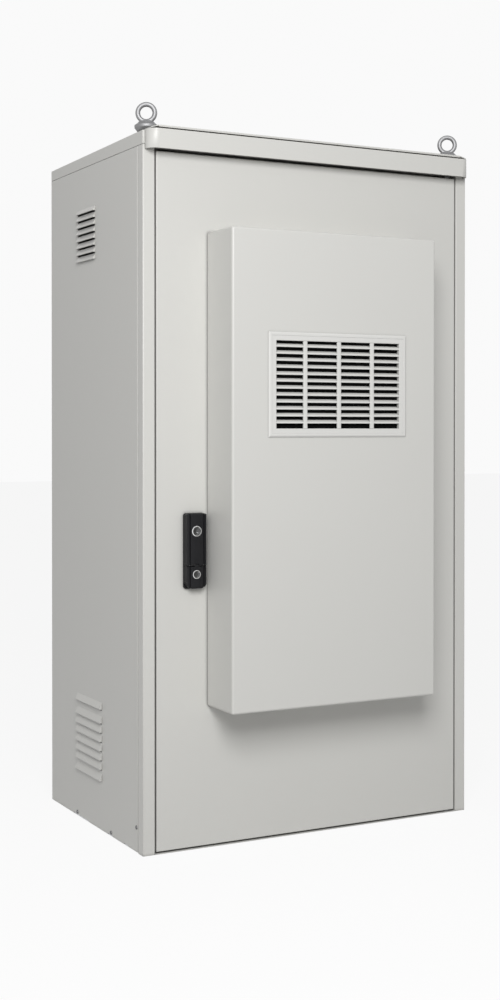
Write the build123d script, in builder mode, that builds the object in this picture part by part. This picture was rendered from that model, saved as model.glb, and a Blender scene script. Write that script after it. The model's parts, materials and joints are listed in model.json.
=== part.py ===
from build123d import *
import os
from math import pi, sin

# Roadside utility cabinet with an air conditioner on its door, in millimetres.
# The frame's origin is on the ground, in the middle of the four anchor holes and of the body.
# The door faces -Y, +X is to the right of someone who faces the door, and +Z is up.

# Body
body_width = 800.0
body_depth = 530.0
body_height = 1448.0  # ground to the seam under the roof
sheet = 2.0
bend = 2.5  # outside radius of a fold
seam = 1.0  # open seam between two outer sheets
weld_lap = 0.5  # how far a sheet stops short of its neighbour in one plane

# Front frame: posts, head rail and sill, with a rain gutter behind the door's edge
post_face = 27.0
post_side = 26.0
post_hem = 14.0
gutter_depth = 37.0
gutter_width = 47.0
seal_edge_reach = 25.0  # the gutter's inner wall comes this far forward

# Door
door_gap = 3.0
door_head_gap = 6.0  # under the head rail, hidden behind the fascia
door_bottom = 5.0
door_top_gap = 1.5  # below the fascia's edge
door_depth = 22.0
door_edge_radius = 2.5
gasket_width = 14.0
gasket_gap = 0.3

# Door pivots
pivot_from_edge = 16.0
pivot_behind_front = 9.0
pivot_diameter = 8.0
pivot_play = 0.05  # radial play of a turning fit
pivot_length = 26.0
pivot_collar_radius = 8.0
bush_length = 24.0

# Base frame and floor
base_height = 62.0
base_wall = 3.0
base_flange = 60.0
base_top_flange = 25.0
anchor_from_side = 45.0
anchor_from_rear = 82.0
anchor_hole_diameter = 14.0
anchor_access_diameter = 40.0
gland_count = 4
gland_hole_diameter = 25.0
gland_bore_diameter = 14.0
gland_pitch = 90.0
gland_row_from_rear = 135.0

# Side panels
panel_lift = 1.5  # lower edge of the outer panels above the ground
rear_return = 27.5
louvre_proud = 5.5
louvre_drop = 3.0  # the slot in the panel reaches this far below the louvre's lip
louvre_sheet = 1.5
upper_louvre_front = 256.0  # from the front of the body
upper_louvre_length = 104.0
upper_louvre_drop = 101.5  # its top lip is this far below the roof seam
upper_louvre_pitch = 15.1
upper_louvre_height = 10.5
lower_louvre_front = 220.0
lower_louvre_length = 145.0
lower_louvre_top_lip = 263.0
lower_louvre_pitch = 20.0
lower_louvre_first_step = 30.0
lower_louvre_last_step = 25.0
lower_louvre_height = 15.0
louvre_count = 8  # the lowest one of each group is closed

panel_notches = [(78.0, 101.0), (159.0, 187.0), (296.0, 388.0)]  # from the front of the body
panel_notch_top = 4.0
earth_screw_from_front = 33.0
earth_screw_z = 52.0
low_screws_from_front = [169.0, 365.0]
low_screw_z = 8.5
side_screw_diameter = 5.0
tab_height = 20.0
tab_depth = 9.0
back_screw_inset = 15.0  # from the side panel's edge
back_screw_zs = [80.0, 510.0, 940.0, 1370.0]
back_screw_diameter = 6.0
panel_screw_head = 4.2
panel_screw_head_height = 1.6
panel_screw_length = 9.0
head_taper = 20.0
screw_head_radius = 6.0
screw_head_height = 3.5
screw_length = 10.0

# Roof
deck_front_height = 28.0  # above the body, at the front
deck_fall = 5.0  # the roof falls this much to the rear
fascia_proud = 25.0
fascia_inset = 5.0
fascia_corner = 22.0
fascia_drop = 10.0  # its lower edge is this far below the roof seam
fascia_lap = 20.0  # the fascia's top flange lies on the deck
cover_rise = 10.0  # top of the raised cover above the deck
cover_end_inset = 11.0  # from the side of the body
cover_shoulder_inset = 28.0
cover_end_rise = 4.8
cover_front_setback = 7.0  # behind the fascia's face
cover_rear_setback = 10.0
cover_lip = 4.0
spacer_radius = 8.0
spacer_from_side = 100.0
spacer_from_front = 65.0

# Lifting eyes, M10
eye_from_side = 24.5
eye_from_front = 37.0
eye_ring_outer = 45.0
eye_wire = 10.0
eye_centre_height = 31.0  # ring centre above the base's underside
eye_turn = -28.0  # about the upright, from the front
eye_base_diameter = 49.0
eye_base_edge = 1.5
eye_collar_diameter = 33.0
eye_collar_height = 14.0
eye_shank_diameter = 10.0
eye_seat_radius = 16.0
eye_seat_top = 12.0  # seat on the cover, above the deck at the front
eye_nut_flats = 17.0
eye_nut_height = 8.0
hole_play = 0.5  # radial play of a plain bolt hole

# Equipment rails, 19 inch
rail_hole_spacing = 465.1
rail_opening = 450.0
rail_from_front = 170.0
rail_from_rear = 60.0
rail_face = 21.0
rail_web = 45.0
rail_foot = 16.0
rail_hole_side = 9.5
rail_unit = 44.45
rail_first_hole = 40.0
rail_hole_count = 29
crossbar_width = 40.0
crossbar_height = 18.0
shelf_hole = 13  # the shelf's ears are at this hole, counted from the floor

# Lock
lock_from_side = 113.0
handle_bottom = 541.0
handle_height = 156.0
spindle_from_bottom = 30.0  # above the handle's lower end
barrel_from_top = 37.0  # below the handle's upper end
handle_base_width = 47.5
handle_base_thickness = 4.5
handle_rear_width = 46.5
handle_front_width = 44.0
handle_proud = 18.0
handle_groove_width = 3.0
handle_groove_depth = 3.0
handle_strip_width = 28.5
handle_running_gap = 0.3
lever_pin_above_spindle = 19.0
lever_pin_radius = 1.5
lever_pin_depth = 3.2  # behind the handle's face
barrel_diameter = 22.0
insert_diameter = 18.5
spindle_diameter = 16.0
cam_radius = 16.0
cam_pin_radius = 2.5
cam_pin_slack = 0.25
rod_diameter = 8.0
rod_depth = 23.0  # the lock rods' axes behind the front
keeper_width = 20.0
keeper_height = 22.0
keeper_top = 3.0

# Air conditioner
ac_height = 983.0
ac_proud = 115.0
ac_from_side = 145.0  # on the lock's side of the body
ac_from_hinge_side = 163.0
ac_bottom = 294.5
ac_edge_radius = 5.0
ac_gasket_thickness = 3.0
ac_gasket_inset = 3.0
ac_gasket_width = 16.0
ac_window_inset_x = 36.0
ac_window_inset_z = 36.5
ac_inner_depth = 88.0  # behind the door's front
ac_inner_inset_x = 26.0
ac_inner_inset_z = 25.5
ac_rim = 10.0
grille_height = 215.2
grille_left_inset = 82.0  # from the air conditioner's side
grille_right_inset = 76.6
grille_bottom = 853.3
grille_proud = 3.5
grille_body_depth = 11.0
grille_lap = 6.0
grille_rows = 13
grille_pitch = 14.2
grille_blade = 4.0
grille_blade_rise = 3.0
grille_side_frame = 17.6
grille_outer_column = 63.0
grille_mullion = 10.4
grille_mullion_depth = 3.0
grille_undercut = 7.0  # the slots run this far behind the frame
fan_diameter = 190.0
fan_hub_diameter = 60.0
fan_blades = 7
fan_width = 34.0
fan_shaft_radius = 6.0

# Worked-out places
half_width = body_width / 2
front = -body_depth / 2
rear = body_depth / 2
body_top = body_height - seam / 2
post_inner = half_width - post_face
gutter_back = front + gutter_depth
seal_x = post_inner - gutter_width
seal_tip = gutter_back - seal_edge_reach
door_half = post_inner - door_gap
fascia_bottom = body_height - fascia_drop
door_top = fascia_bottom - door_top_gap
head_bottom = door_top + door_head_gap
head_seal = head_bottom - gutter_width
sill_top = sheet
sill_seal = base_height
seal_mid_x = seal_x - sheet / 2
seal_mid_top = head_seal - sheet / 2
seal_mid_bottom = sill_seal + sheet / 2
door_height = door_top - door_bottom
door_skin = front + sheet  # inner face of the door's skin
anchor_spacing_x = body_width - 2 * anchor_from_side
anchor_spacing_y = body_depth - 2 * anchor_from_rear
gland_plate_y = rear - gland_row_from_rear
rail_front_y = front + rail_from_front
rail_rear_y = rear - rail_from_rear
pivot_x = door_half - pivot_from_edge
pivot_y = front + pivot_behind_front
frame_back = gutter_back + sheet  # back of the gutter's sheet
floor_top = base_height + sheet
ring_bottom = body_top
ring_wall = 3.0
lock_x = -half_width + lock_from_side
spindle_height = handle_bottom + spindle_from_bottom
barrel_height = handle_bottom + handle_height - barrel_from_top
lever_pin_height = spindle_height + lever_pin_above_spindle
ac_width = body_width - ac_from_side - ac_from_hinge_side
ac_left = -half_width + ac_from_side
ac_x = ac_left + ac_width / 2
ac_z = ac_bottom + ac_height / 2
ac_front = front - ac_proud
ac_back = front - ac_gasket_thickness
panel_inner = half_width - sheet
panel_front = front + post_side + seam
side_screw_places = [(front + earth_screw_from_front, earth_screw_z)]
side_screw_places += [(front + y, low_screw_z) for y in low_screws_from_front]


def deck_top(y):
    """Height of the roof deck's upper face at a depth y."""
    return body_height + deck_front_height - deck_fall * (y - front) / body_depth


def folded(*points, side, radius=bend):
    """Section of one folded sheet: its outer line, thickened to one side."""
    with BuildLine() as outline:
        FilletPolyline(*points, radius=radius)
        offset(amount=sheet, side=side)
    make_face(outline.edges())


os.makedirs("parts", exist_ok=True)

# Base frame: a welded ring of channel, with the anchor holes in its lower flange
base_length = rear - sheet - frame_back
base_y = frame_back + base_length / 2
base_width = body_width - 2 * sheet
with BuildPart() as base_frame:
    with BuildSketch(Plane.XY):
        with Locations((0, base_y)):
            Rectangle(base_width, base_length)
            Rectangle(base_width - 2 * base_flange, base_length - 2 * base_flange, mode=Mode.SUBTRACT)
        with GridLocations(anchor_spacing_x, anchor_spacing_y, 2, 2):
            Circle(anchor_hole_diameter / 2, mode=Mode.SUBTRACT)
    extrude(amount=base_wall)
    with BuildSketch(Plane.XY):
        with Locations((0, base_y)):
            Rectangle(base_width, base_length)
            Rectangle(base_width - 2 * base_wall, base_length - 2 * base_wall, mode=Mode.SUBTRACT)
    extrude(amount=base_height)
    with BuildSketch(Plane.XY.offset(base_height - base_wall)):
        with Locations((0, base_y)):
            Rectangle(base_width, base_length)
            Rectangle(
                base_width - 2 * base_top_flange, base_length - 2 * base_top_flange, mode=Mode.SUBTRACT
            )
    extrude(amount=base_wall)
    # Tabs in front of the frame for the earthing screws, and the holes of all side screws
    with BuildSketch(Plane.XY.offset(earth_screw_z - tab_height / 2)):
        for side in (-1, 1):
            with Locations((side * (panel_inner - base_wall / 2), frame_back - tab_depth / 2 + weld_lap)):
                Rectangle(base_wall, tab_depth + weld_lap)
    extrude(amount=tab_height)
    with BuildSketch(Plane.YZ.offset(-half_width)):
        with Locations(*side_screw_places):
            Circle(side_screw_diameter / 2 + hole_play / 5)
    extrude(amount=body_width, mode=Mode.SUBTRACT)
    rear_corners = base_frame.edges().filter_by(Axis.Z).group_by(Axis.Y)[-1]
    fillet(rear_corners, radius=bend)
base_frame.part.label = "base_frame"
export_step(base_frame.part, "parts/base_frame.step")


# Floor plate with an access hole over each anchor bolt and a cut-out over the gland plate
gland_window_margin = 25.0
gland_window_x = (gland_count - 1) * gland_pitch + 2 * gland_window_margin
gland_window_y = 60.0
gland_plate_lap = 20.0
gland_plate_corner = 6.0
post_notch_margin = 30.0
post_notch = rear_return + post_notch_margin
with BuildPart() as floor_plate:
    with BuildSketch(Plane.XY.offset(base_height)):
        with Locations((0, base_y)):
            Rectangle(base_width - 2 * weld_lap, base_length - 2 * weld_lap)
        with GridLocations(anchor_spacing_x, anchor_spacing_y, 2, 2):
            Circle(anchor_access_diameter / 2, mode=Mode.SUBTRACT)
        with Locations((0, gland_plate_y)):
            Rectangle(gland_window_x, gland_window_y, mode=Mode.SUBTRACT)
        for corner in (-1, 1):
            with Locations((corner * base_width / 2, rear)):
                Rectangle(2 * post_notch, 2 * post_notch, mode=Mode.SUBTRACT)
    extrude(amount=sheet)
floor_plate.part.label = "floor_plate"
export_step(floor_plate.part, "parts/floor_plate.step")

# Gland plate under the floor's cut-out, with a row of cable glands
gland_plate_thickness = 3.0
gland_plate_bottom = base_height - gland_plate_thickness
with BuildPart() as gland_plate:
    with BuildSketch(Plane.XY.offset(gland_plate_bottom)):
        with Locations((0, gland_plate_y)):
            RectangleRounded(
                gland_window_x + 2 * gland_plate_lap,
                gland_window_y + 2 * gland_plate_lap,
                gland_plate_corner,
            )
            with GridLocations(gland_pitch, 1, gland_count, 1):
                Circle(gland_hole_diameter / 2, mode=Mode.SUBTRACT)
    extrude(amount=gland_plate_thickness)
gland_plate.part.label = "gland_plate"
export_step(gland_plate.part, "parts/gland_plate.step")

gland_flats_radius = 17.0
gland_flange_height = 12.0
gland_length = 40.0
gland_thread_play = 0.2
gland_thread_radius = gland_hole_diameter / 2 - gland_thread_play
gland_low = gland_plate_bottom - gland_flange_height
with BuildPart() as cable_glands:
    with BuildSketch(Plane.XY.offset(gland_low)):
        with Locations((0, gland_plate_y)):
            with GridLocations(gland_pitch, 1, gland_count, 1):
                RegularPolygon(gland_flats_radius, 6)
    extrude(amount=gland_flange_height)
    with BuildSketch(Plane.XY.offset(gland_low)):
        with Locations((0, gland_plate_y)):
            with GridLocations(gland_pitch, 1, gland_count, 1):
                Circle(gland_thread_radius)
    extrude(amount=gland_length)
    with BuildSketch(Plane.XY.offset(gland_low)):
        with Locations((0, gland_plate_y)):
            with GridLocations(gland_pitch, 1, gland_count, 1):
                Circle(gland_bore_diameter / 2)
    extrude(amount=gland_length, mode=Mode.SUBTRACT)
cable_glands.part.label = "cable_glands"
export_step(cable_glands.part, "parts/cable_glands.step")

gland_nut_height = 6.0
with BuildPart() as gland_nuts:
    with BuildSketch(Plane.XY.offset(base_height)):
        with Locations((0, gland_plate_y)):
            with GridLocations(gland_pitch, 1, gland_count, 1):
                RegularPolygon(gland_flats_radius, 6)
                Circle(gland_thread_radius + weld_lap / 5, mode=Mode.SUBTRACT)
    extrude(amount=gland_nut_height)
gland_nuts.part.label = "gland_nuts"
export_step(gland_nuts.part, "parts/gland_nuts.step")

# Front posts: each is one folded sheet with the visible face, the gutter and the sealing edge
with BuildPart() as front_post_right:
    with BuildSketch(Plane.XY):
        folded(
            (half_width - post_hem, front + post_side),
            (half_width, front + post_side),
            (half_width, front),
            (post_inner, front),
            (post_inner, gutter_back),
            (seal_x, gutter_back),
            (seal_x, seal_tip),
            side=Side.LEFT,
        )
    extrude(amount=body_top)
    # The head rail and the sill take over above and below the door opening.
    cut_width = post_inner - seal_x + sheet
    with Locations((post_inner - cut_width / 2, gutter_back, 0)):
        Box(
            cut_width,
            2 * gutter_depth - 2 * sheet,
            sill_seal + sheet,
            align=(Align.CENTER, Align.CENTER, Align.MIN),
            mode=Mode.SUBTRACT,
        )
    with Locations((post_inner - cut_width / 2, gutter_back, head_seal - sheet)):
        Box(
            cut_width,
            2 * gutter_depth - 2 * sheet,
            body_height,
            align=(Align.CENTER, Align.CENTER, Align.MIN),
            mode=Mode.SUBTRACT,
        )
front_post_right.part.label = "front_post_right"
export_step(front_post_right.part, "parts/front_post_right.step")

with BuildPart() as front_post_left:
    mirror(front_post_right.part, about=Plane.YZ)
front_post_left.part.label = "front_post_left"
export_step(front_post_left.part, "parts/front_post_left.step")

# Head rail above the door and sill below it, both with the same gutter
rail_half = post_inner
edge_cut_x = (post_inner + seal_x) / 2
edge_cut_width = post_inner - seal_x
with BuildPart() as head_rail:
    with BuildSketch(Plane.YZ):
        folded(
            (front, body_top),
            (front, head_bottom),
            (gutter_back, head_bottom),
            (gutter_back, head_seal),
            (seal_tip, head_seal),
            side=Side.RIGHT,
        )
    extrude(amount=rail_half, both=True)
    # The sealing edge stops at the posts' sealing edges.
    with Locations(
        (edge_cut_x, (seal_tip + gutter_back) / 2, head_seal),
        (-edge_cut_x, (seal_tip + gutter_back) / 2, head_seal),
    ):
        Box(edge_cut_width, seal_edge_reach, 4 * (bend + sheet), mode=Mode.SUBTRACT)
head_rail.part.label = "head_rail"
export_step(head_rail.part, "parts/head_rail.step")

with BuildPart() as door_sill:
    with BuildSketch(Plane.YZ):
        folded(
            (front, sill_top),
            (gutter_back, sill_top),
            (gutter_back, sill_seal),
            (seal_tip, sill_seal),
            side=Side.RIGHT,
        )
    extrude(amount=rail_half, both=True)
    with Locations(
        (edge_cut_x, (seal_tip + gutter_back) / 2, sill_seal),
        (-edge_cut_x, (seal_tip + gutter_back) / 2, sill_seal),
    ):
        Box(edge_cut_width, seal_edge_reach, 4 * (bend + sheet), mode=Mode.SUBTRACT)
door_sill.part.label = "door_sill"
export_step(door_sill.part, "parts/door_sill.step")

# Rear posts, inside the corner of the side panel and the back panel
rear_post_side = 42.0
rear_post_overlap = 28.0
rear_post_back = rear_return + rear_post_overlap
rear_post_hem = 18.0
back_screw_x = half_width - rear_return - back_screw_inset
with BuildPart() as rear_post_right:
    with BuildSketch(Plane.XY.offset(base_height)):
        folded(
            (half_width - sheet, rear - sheet - rear_post_side),
            (half_width - sheet, rear - sheet),
            (half_width - sheet - rear_post_back, rear - sheet),
            (half_width - sheet - rear_post_back, rear - sheet - rear_post_hem),
            side=Side.LEFT,
        )
    extrude(amount=body_top - base_height)
    with BuildSketch(Plane.XZ.offset(-rear)):
        for z in back_screw_zs:
            with Locations((back_screw_x, z)):
                Circle(back_screw_diameter / 2 + hole_play / 5)
    extrude(amount=3 * sheet, mode=Mode.SUBTRACT)
rear_post_right.part.label = "rear_post_right"
export_step(rear_post_right.part, "parts/rear_post_right.step")

with BuildPart() as rear_post_left:
    mirror(rear_post_right.part, about=Plane.YZ)
rear_post_left.part.label = "rear_post_left"
export_step(rear_post_left.part, "parts/rear_post_left.step")

# Louvres: hoods pressed out of the side panel, open below, and the lowest of each group closed
upper_louvre_top_lip = body_height - upper_louvre_drop
upper_lips = [upper_louvre_top_lip - i * upper_louvre_pitch for i in range(louvre_count)]
lower_lips = [lower_louvre_top_lip]
lower_lips += [
    lower_louvre_top_lip - lower_louvre_first_step - i * lower_louvre_pitch for i in range(louvre_count - 2)
]
lower_lips += [lower_lips[-1] - lower_louvre_last_step]
louvre_groups = [
    (upper_lips, upper_louvre_front, upper_louvre_length, upper_louvre_height),
    (lower_lips, lower_louvre_front, lower_louvre_length, lower_louvre_height),
]
louvre_face = 2.0  # height of the hood's upright lip
with BuildPart() as side_panel_right:
    with BuildSketch(Plane.XY.offset(panel_lift)):
        folded(
            (half_width - post_hem, panel_front),
            (half_width, panel_front),
            (half_width, rear),
            (half_width - rear_return, rear),
            side=Side.LEFT,
        )
    extrude(amount=body_top - panel_lift)
    for lips, start, length, height in louvre_groups:
        middle = front + start + length / 2
        for lip in lips:
            with BuildSketch(Plane.XZ.offset(-middle)):
                Polygon(
                    (panel_inner, lip),
                    (half_width + louvre_proud, lip),
                    (half_width + louvre_proud, lip + louvre_face),
                    (half_width, lip + height),
                    (panel_inner, lip + height),
                    align=None,
                )
            extrude(amount=length / 2, both=True)
        for lip in lips[:-1]:
            with BuildSketch(Plane.XZ.offset(-middle)):
                Polygon(
                    (panel_inner - sheet, lip - louvre_drop),
                    (half_width, lip - louvre_drop),
                    (half_width, lip),
                    (half_width + louvre_proud - louvre_sheet, lip),
                    (half_width + louvre_proud - louvre_sheet, lip + louvre_face),
                    (panel_inner - sheet, lip + height + sheet - louvre_sheet),
                    align=None,
                )
            extrude(amount=length / 2 - louvre_sheet, both=True, mode=Mode.SUBTRACT)
    # Shallow notches in the lower edge
    for start, end in panel_notches:
        with Locations((half_width - sheet / 2, front + (start + end) / 2, panel_notch_top)):
            Box(
                2 * sheet,
                end - start,
                2 * panel_notch_top,
                align=(Align.CENTER, Align.CENTER, Align.MAX),
                mode=Mode.SUBTRACT,
            )
    with BuildSketch(Plane.YZ.offset(half_width - 2 * sheet)):
        with Locations(*side_screw_places):
            Circle(side_screw_diameter / 2 + hole_play / 5)
    extrude(amount=3 * sheet, mode=Mode.SUBTRACT)
side_panel_right.part.label = "side_panel_right"
export_step(side_panel_right.part, "parts/side_panel_right.step")

with BuildPart() as side_panel_left:
    mirror(side_panel_right.part, about=Plane.YZ)
side_panel_left.part.label = "side_panel_left"
export_step(side_panel_left.part, "parts/side_panel_left.step")

# Back panel, between the side panels' rear returns
back_half = half_width - rear_return - seam / 2
with BuildPart() as back_panel:
    with BuildSketch(Plane.XZ.offset(-rear)):
        with Locations((0, (panel_lift + body_top) / 2)):
            Rectangle(2 * back_half, body_top - panel_lift)
        for z in back_screw_zs:
            with Locations((back_screw_x, z), (-back_screw_x, z)):
                Circle(back_screw_diameter / 2 + hole_play / 5, mode=Mode.SUBTRACT)
    extrude(amount=sheet)
back_panel.part.label = "back_panel"
export_step(back_panel.part, "parts/back_panel.step")

# Roof frame: a welded ring on top of the posts that carries the deck and the lifting eyes
ring_gap = 0.5
ring_half = panel_inner - ring_gap
ring_front = front + sheet + ring_gap
ring_rear = rear - sheet - ring_gap
ring_flange = 40.0
eye_x = half_width - eye_from_side
eye_y = front + eye_from_front
with BuildPart() as roof_frame:
    with BuildSketch(Plane.YZ):
        Polygon(
            (ring_front, ring_bottom),
            (ring_rear, ring_bottom),
            (ring_rear, deck_top(ring_rear) - sheet),
            (ring_front, deck_top(ring_front) - sheet),
            align=None,
        )
    extrude(amount=ring_half, both=True)
    with BuildSketch(Plane.YZ):
        Polygon(
            (ring_front + ring_wall, ring_bottom - seam),
            (ring_rear - ring_wall, ring_bottom - seam),
            (ring_rear - ring_wall, deck_top(ring_rear) - sheet - ring_wall),
            (ring_front + ring_wall, deck_top(ring_front) - sheet - ring_wall),
            align=None,
        )
    extrude(amount=ring_half - ring_wall, both=True, mode=Mode.SUBTRACT)
    with Locations((0, (ring_front + ring_rear) / 2, body_height)):
        Box(
            2 * (ring_half - ring_flange),
            ring_rear - ring_front - 2 * ring_flange,
            4 * deck_front_height,
            mode=Mode.SUBTRACT,
        )
    with Locations((eye_x, eye_y, body_height), (-eye_x, eye_y, body_height)):
        Cylinder(eye_shank_diameter / 2 + hole_play, 4 * deck_front_height, mode=Mode.SUBTRACT)
roof_frame.part.label = "roof_frame"
export_step(roof_frame.part, "parts/roof_frame.step")

# Roof deck: a shallow lid that falls to the rear
deck_bottom = body_height + seam / 2
with BuildPart() as roof_deck:
    with BuildSketch(Plane.YZ):
        Polygon(
            (front, deck_bottom), (rear, deck_bottom), (rear, deck_top(rear)), (front, deck_top(front)), align=None
        )
    extrude(amount=half_width, both=True)
    deck_corners = roof_deck.edges().filter_by(Axis.Z)
    fillet(deck_corners, radius=bend)
    with BuildSketch(Plane.YZ):
        Polygon(
            (front + sheet, deck_bottom - sheet),
            (rear - sheet, deck_bottom - sheet),
            (rear - sheet, deck_top(rear - sheet) - sheet),
            (front + sheet, deck_top(front + sheet) - sheet),
            align=None,
        )
    extrude(amount=panel_inner, both=True, mode=Mode.SUBTRACT)
    with Locations((eye_x, eye_y, body_height), (-eye_x, eye_y, body_height)):
        Cylinder(eye_shank_diameter / 2 + hole_play, 4 * deck_front_height, mode=Mode.SUBTRACT)
roof_deck.part.label = "roof_deck"
export_step(roof_deck.part, "parts/roof_deck.step")

# Fascia: the drip edge across the front, with rounded ends and a flange that laps the deck
fascia_front = front - fascia_proud
fascia_half = half_width - fascia_inset
fascia_top = deck_top(front) + sheet
fascia_rear = front + fascia_lap
with BuildPart() as roof_fascia:
    with BuildSketch(Plane.XY.offset(fascia_bottom)):
        folded(
            (-fascia_half, front),
            (-fascia_half, fascia_front),
            (fascia_half, fascia_front),
            (fascia_half, front),
            side=Side.LEFT,
            radius=fascia_corner,
        )
    extrude(amount=fascia_top - fascia_bottom)
    with BuildSketch(Plane.XY.offset(fascia_top - sheet)):
        with BuildLine():
            ends = FilletPolyline(
                (-fascia_half, fascia_rear),
                (-fascia_half, fascia_front),
                (fascia_half, fascia_front),
                (fascia_half, fascia_rear),
                radius=fascia_corner,
            )
            Line(ends @ 1, ends @ 0)
        make_face()
    extrude(amount=sheet)
roof_fascia.part.label = "roof_fascia"
export_step(roof_fascia.part, "parts/roof_fascia.step")

# Raised roof cover, with sloped ends and a small lip along the front
cover_front = fascia_front + cover_front_setback
cover_length = rear - cover_rear_setback - cover_front
cover_end = half_width - cover_end_inset
cover_shoulder = half_width - cover_shoulder_inset
cover_top = deck_top(front) + cover_rise
cover_end_top = deck_top(front) + cover_end_rise
eye_seat_z = deck_top(front) + eye_seat_top
eye_seat_low = deck_top(eye_y - eye_seat_radius)
fall_direction = (0, body_depth, -deck_fall)
spacer_x = half_width - spacer_from_side
spacer_y = body_depth / 2 - spacer_from_front
with BuildPart() as roof_cover:
    with BuildSketch(Plane.XZ.offset(-cover_front)):
        folded(
            (-cover_end, cover_end_top),
            (-cover_shoulder, cover_top),
            (cover_shoulder, cover_top),
            (cover_end, cover_end_top),
            side=Side.RIGHT,
        )
    extrude(amount=cover_length, dir=fall_direction)
    with Locations((0, cover_front, cover_top - sheet / 2)):
        Box(
            2 * cover_shoulder,
            sheet,
            cover_lip - sheet / 2,
            align=(Align.CENTER, Align.MIN, Align.MAX),
        )
    # Seats for the lifting eyes, and their holes
    for side in (-1, 1):
        with Locations((side * eye_x, eye_y, eye_seat_low)):
            Cylinder(
                eye_seat_radius,
                eye_seat_z - eye_seat_low,
                align=(Align.CENTER, Align.CENTER, Align.MIN),
            )
        with Locations((side * eye_x, eye_y, eye_seat_z)):
            Cylinder(eye_shank_diameter / 2 + hole_play, 4 * cover_rise, mode=Mode.SUBTRACT)
    # Welded spacers that hold the cover off the deck
    for y in (-spacer_y, spacer_y):
        spacer_low = deck_top(y - spacer_radius)
        with Locations(*[(x, y, spacer_low) for x in (-spacer_x, 0, spacer_x)]):
            Cylinder(
                spacer_radius,
                cover_rise - sheet / 2,
                align=(Align.CENTER, Align.CENTER, Align.MIN),
            )
roof_cover.part.label = "roof_cover"
export_step(roof_cover.part, "parts/roof_cover.step")

# Lifting eyes, each with a wide base, and a nut under the roof frame
eye_base = eye_seat_z
eye_nut_top = deck_top(eye_y + eye_nut_flats) - sheet - ring_wall
eye_nut_low = eye_nut_top - eye_nut_height
eye_ring_radius = (eye_ring_outer - eye_wire) / 2
eye_base_radius = eye_base_diameter / 2
eye_collar_radius = eye_collar_diameter / 2
with BuildPart() as one_eye:
    with Locations(Location((0, 0, eye_centre_height), (90, 0, 0))):
        Torus(eye_ring_radius, eye_wire / 2)
    with BuildSketch(Plane.XZ):
        with BuildLine():
            Polyline(
                (0, eye_collar_height),
                (0, 0),
                (eye_base_radius, 0),
                (eye_base_radius, eye_base_edge),
                (eye_collar_radius, eye_collar_height - eye_base_edge),
                (eye_collar_radius - eye_base_edge, eye_collar_height),
                (0, eye_collar_height),
            )
        make_face()
    revolve(axis=Axis.Z)
    Cylinder(
        eye_shank_diameter / 2,
        eye_base - eye_nut_low + seam,
        align=(Align.CENTER, Align.CENTER, Align.MAX),
    )
with BuildPart() as lifting_eyes:
    for x in (-eye_x, eye_x):
        with Locations(Location((x, eye_y, eye_base), (0, 0, eye_turn))):
            add(one_eye.part)
lifting_eyes.part.label = "lifting_eyes"
export_step(lifting_eyes.part, "parts/lifting_eyes.step")

with BuildPart() as eye_nuts:
    with BuildSketch(Plane.XY.offset(eye_nut_low)):
        with Locations((eye_x, eye_y), (-eye_x, eye_y)):
            RegularPolygon(eye_nut_flats / 2, 6, major_radius=False)
            Circle(eye_shank_diameter / 2 + pivot_play, mode=Mode.SUBTRACT)
    extrude(amount=eye_nut_height)
eye_nuts.part.label = "eye_nuts"
export_step(eye_nuts.part, "parts/eye_nuts.step")

# Crossbars under the roof, which hold the tops of the equipment rails
crossbar_ys = (rail_front_y + crossbar_width / 2, rail_rear_y - crossbar_width / 2)
with BuildPart() as rail_crossbars:
    for y in crossbar_ys:
        with BuildSketch(Plane.YZ):
            folded(
                (y - crossbar_width / 2, ring_bottom + crossbar_height),
                (y - crossbar_width / 2, ring_bottom),
                (y + crossbar_width / 2, ring_bottom),
                (y + crossbar_width / 2, ring_bottom + crossbar_height),
                side=Side.LEFT,
            )
        extrude(amount=ring_half - ring_wall, both=True)
rail_crossbars.part.label = "rail_crossbars"
export_step(rail_crossbars.part, "parts/rail_crossbars.step")

# Equipment rails: four folded uprights with a square hole at every height unit
rail_x = rail_opening / 2
rail_bottom = floor_top
rail_top = ring_bottom
first_hole_z = floor_top + rail_first_hole
with BuildPart() as rail_front_right:
    with BuildSketch(Plane.XY.offset(rail_bottom)):
        folded(
            (rail_x, rail_front_y),
            (rail_x + rail_face, rail_front_y),
            (rail_x + rail_face, rail_front_y + rail_web),
            (rail_x + rail_face + rail_foot, rail_front_y + rail_web),
            side=Side.LEFT,
        )
    extrude(amount=rail_top - rail_bottom)
    with BuildSketch(Plane.XZ.offset(-rail_front_y)):
        for i in range(rail_hole_count):
            with Locations((rail_hole_spacing / 2, first_hole_z + i * rail_unit)):
                Rectangle(rail_hole_side, rail_hole_side)
    extrude(amount=2 * sheet, both=True, mode=Mode.SUBTRACT)
rail_front_right.part.label = "rail_front_right"
export_step(rail_front_right.part, "parts/rail_front_right.step")

with BuildPart() as rail_front_left:
    mirror(rail_front_right.part, about=Plane.YZ)
rail_front_left.part.label = "rail_front_left"
export_step(rail_front_left.part, "parts/rail_front_left.step")

rail_middle = (rail_front_y + rail_rear_y) / 2
with BuildPart() as rail_rear_right:
    mirror(rail_front_right.part, about=Plane.XZ.offset(-rail_middle))
rail_rear_right.part.label = "rail_rear_right"
export_step(rail_rear_right.part, "parts/rail_rear_right.step")

with BuildPart() as rail_rear_left:
    mirror(rail_rear_right.part, about=Plane.YZ)
rail_rear_left.part.label = "rail_rear_left"
export_step(rail_rear_left.part, "parts/rail_rear_left.step")

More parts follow.
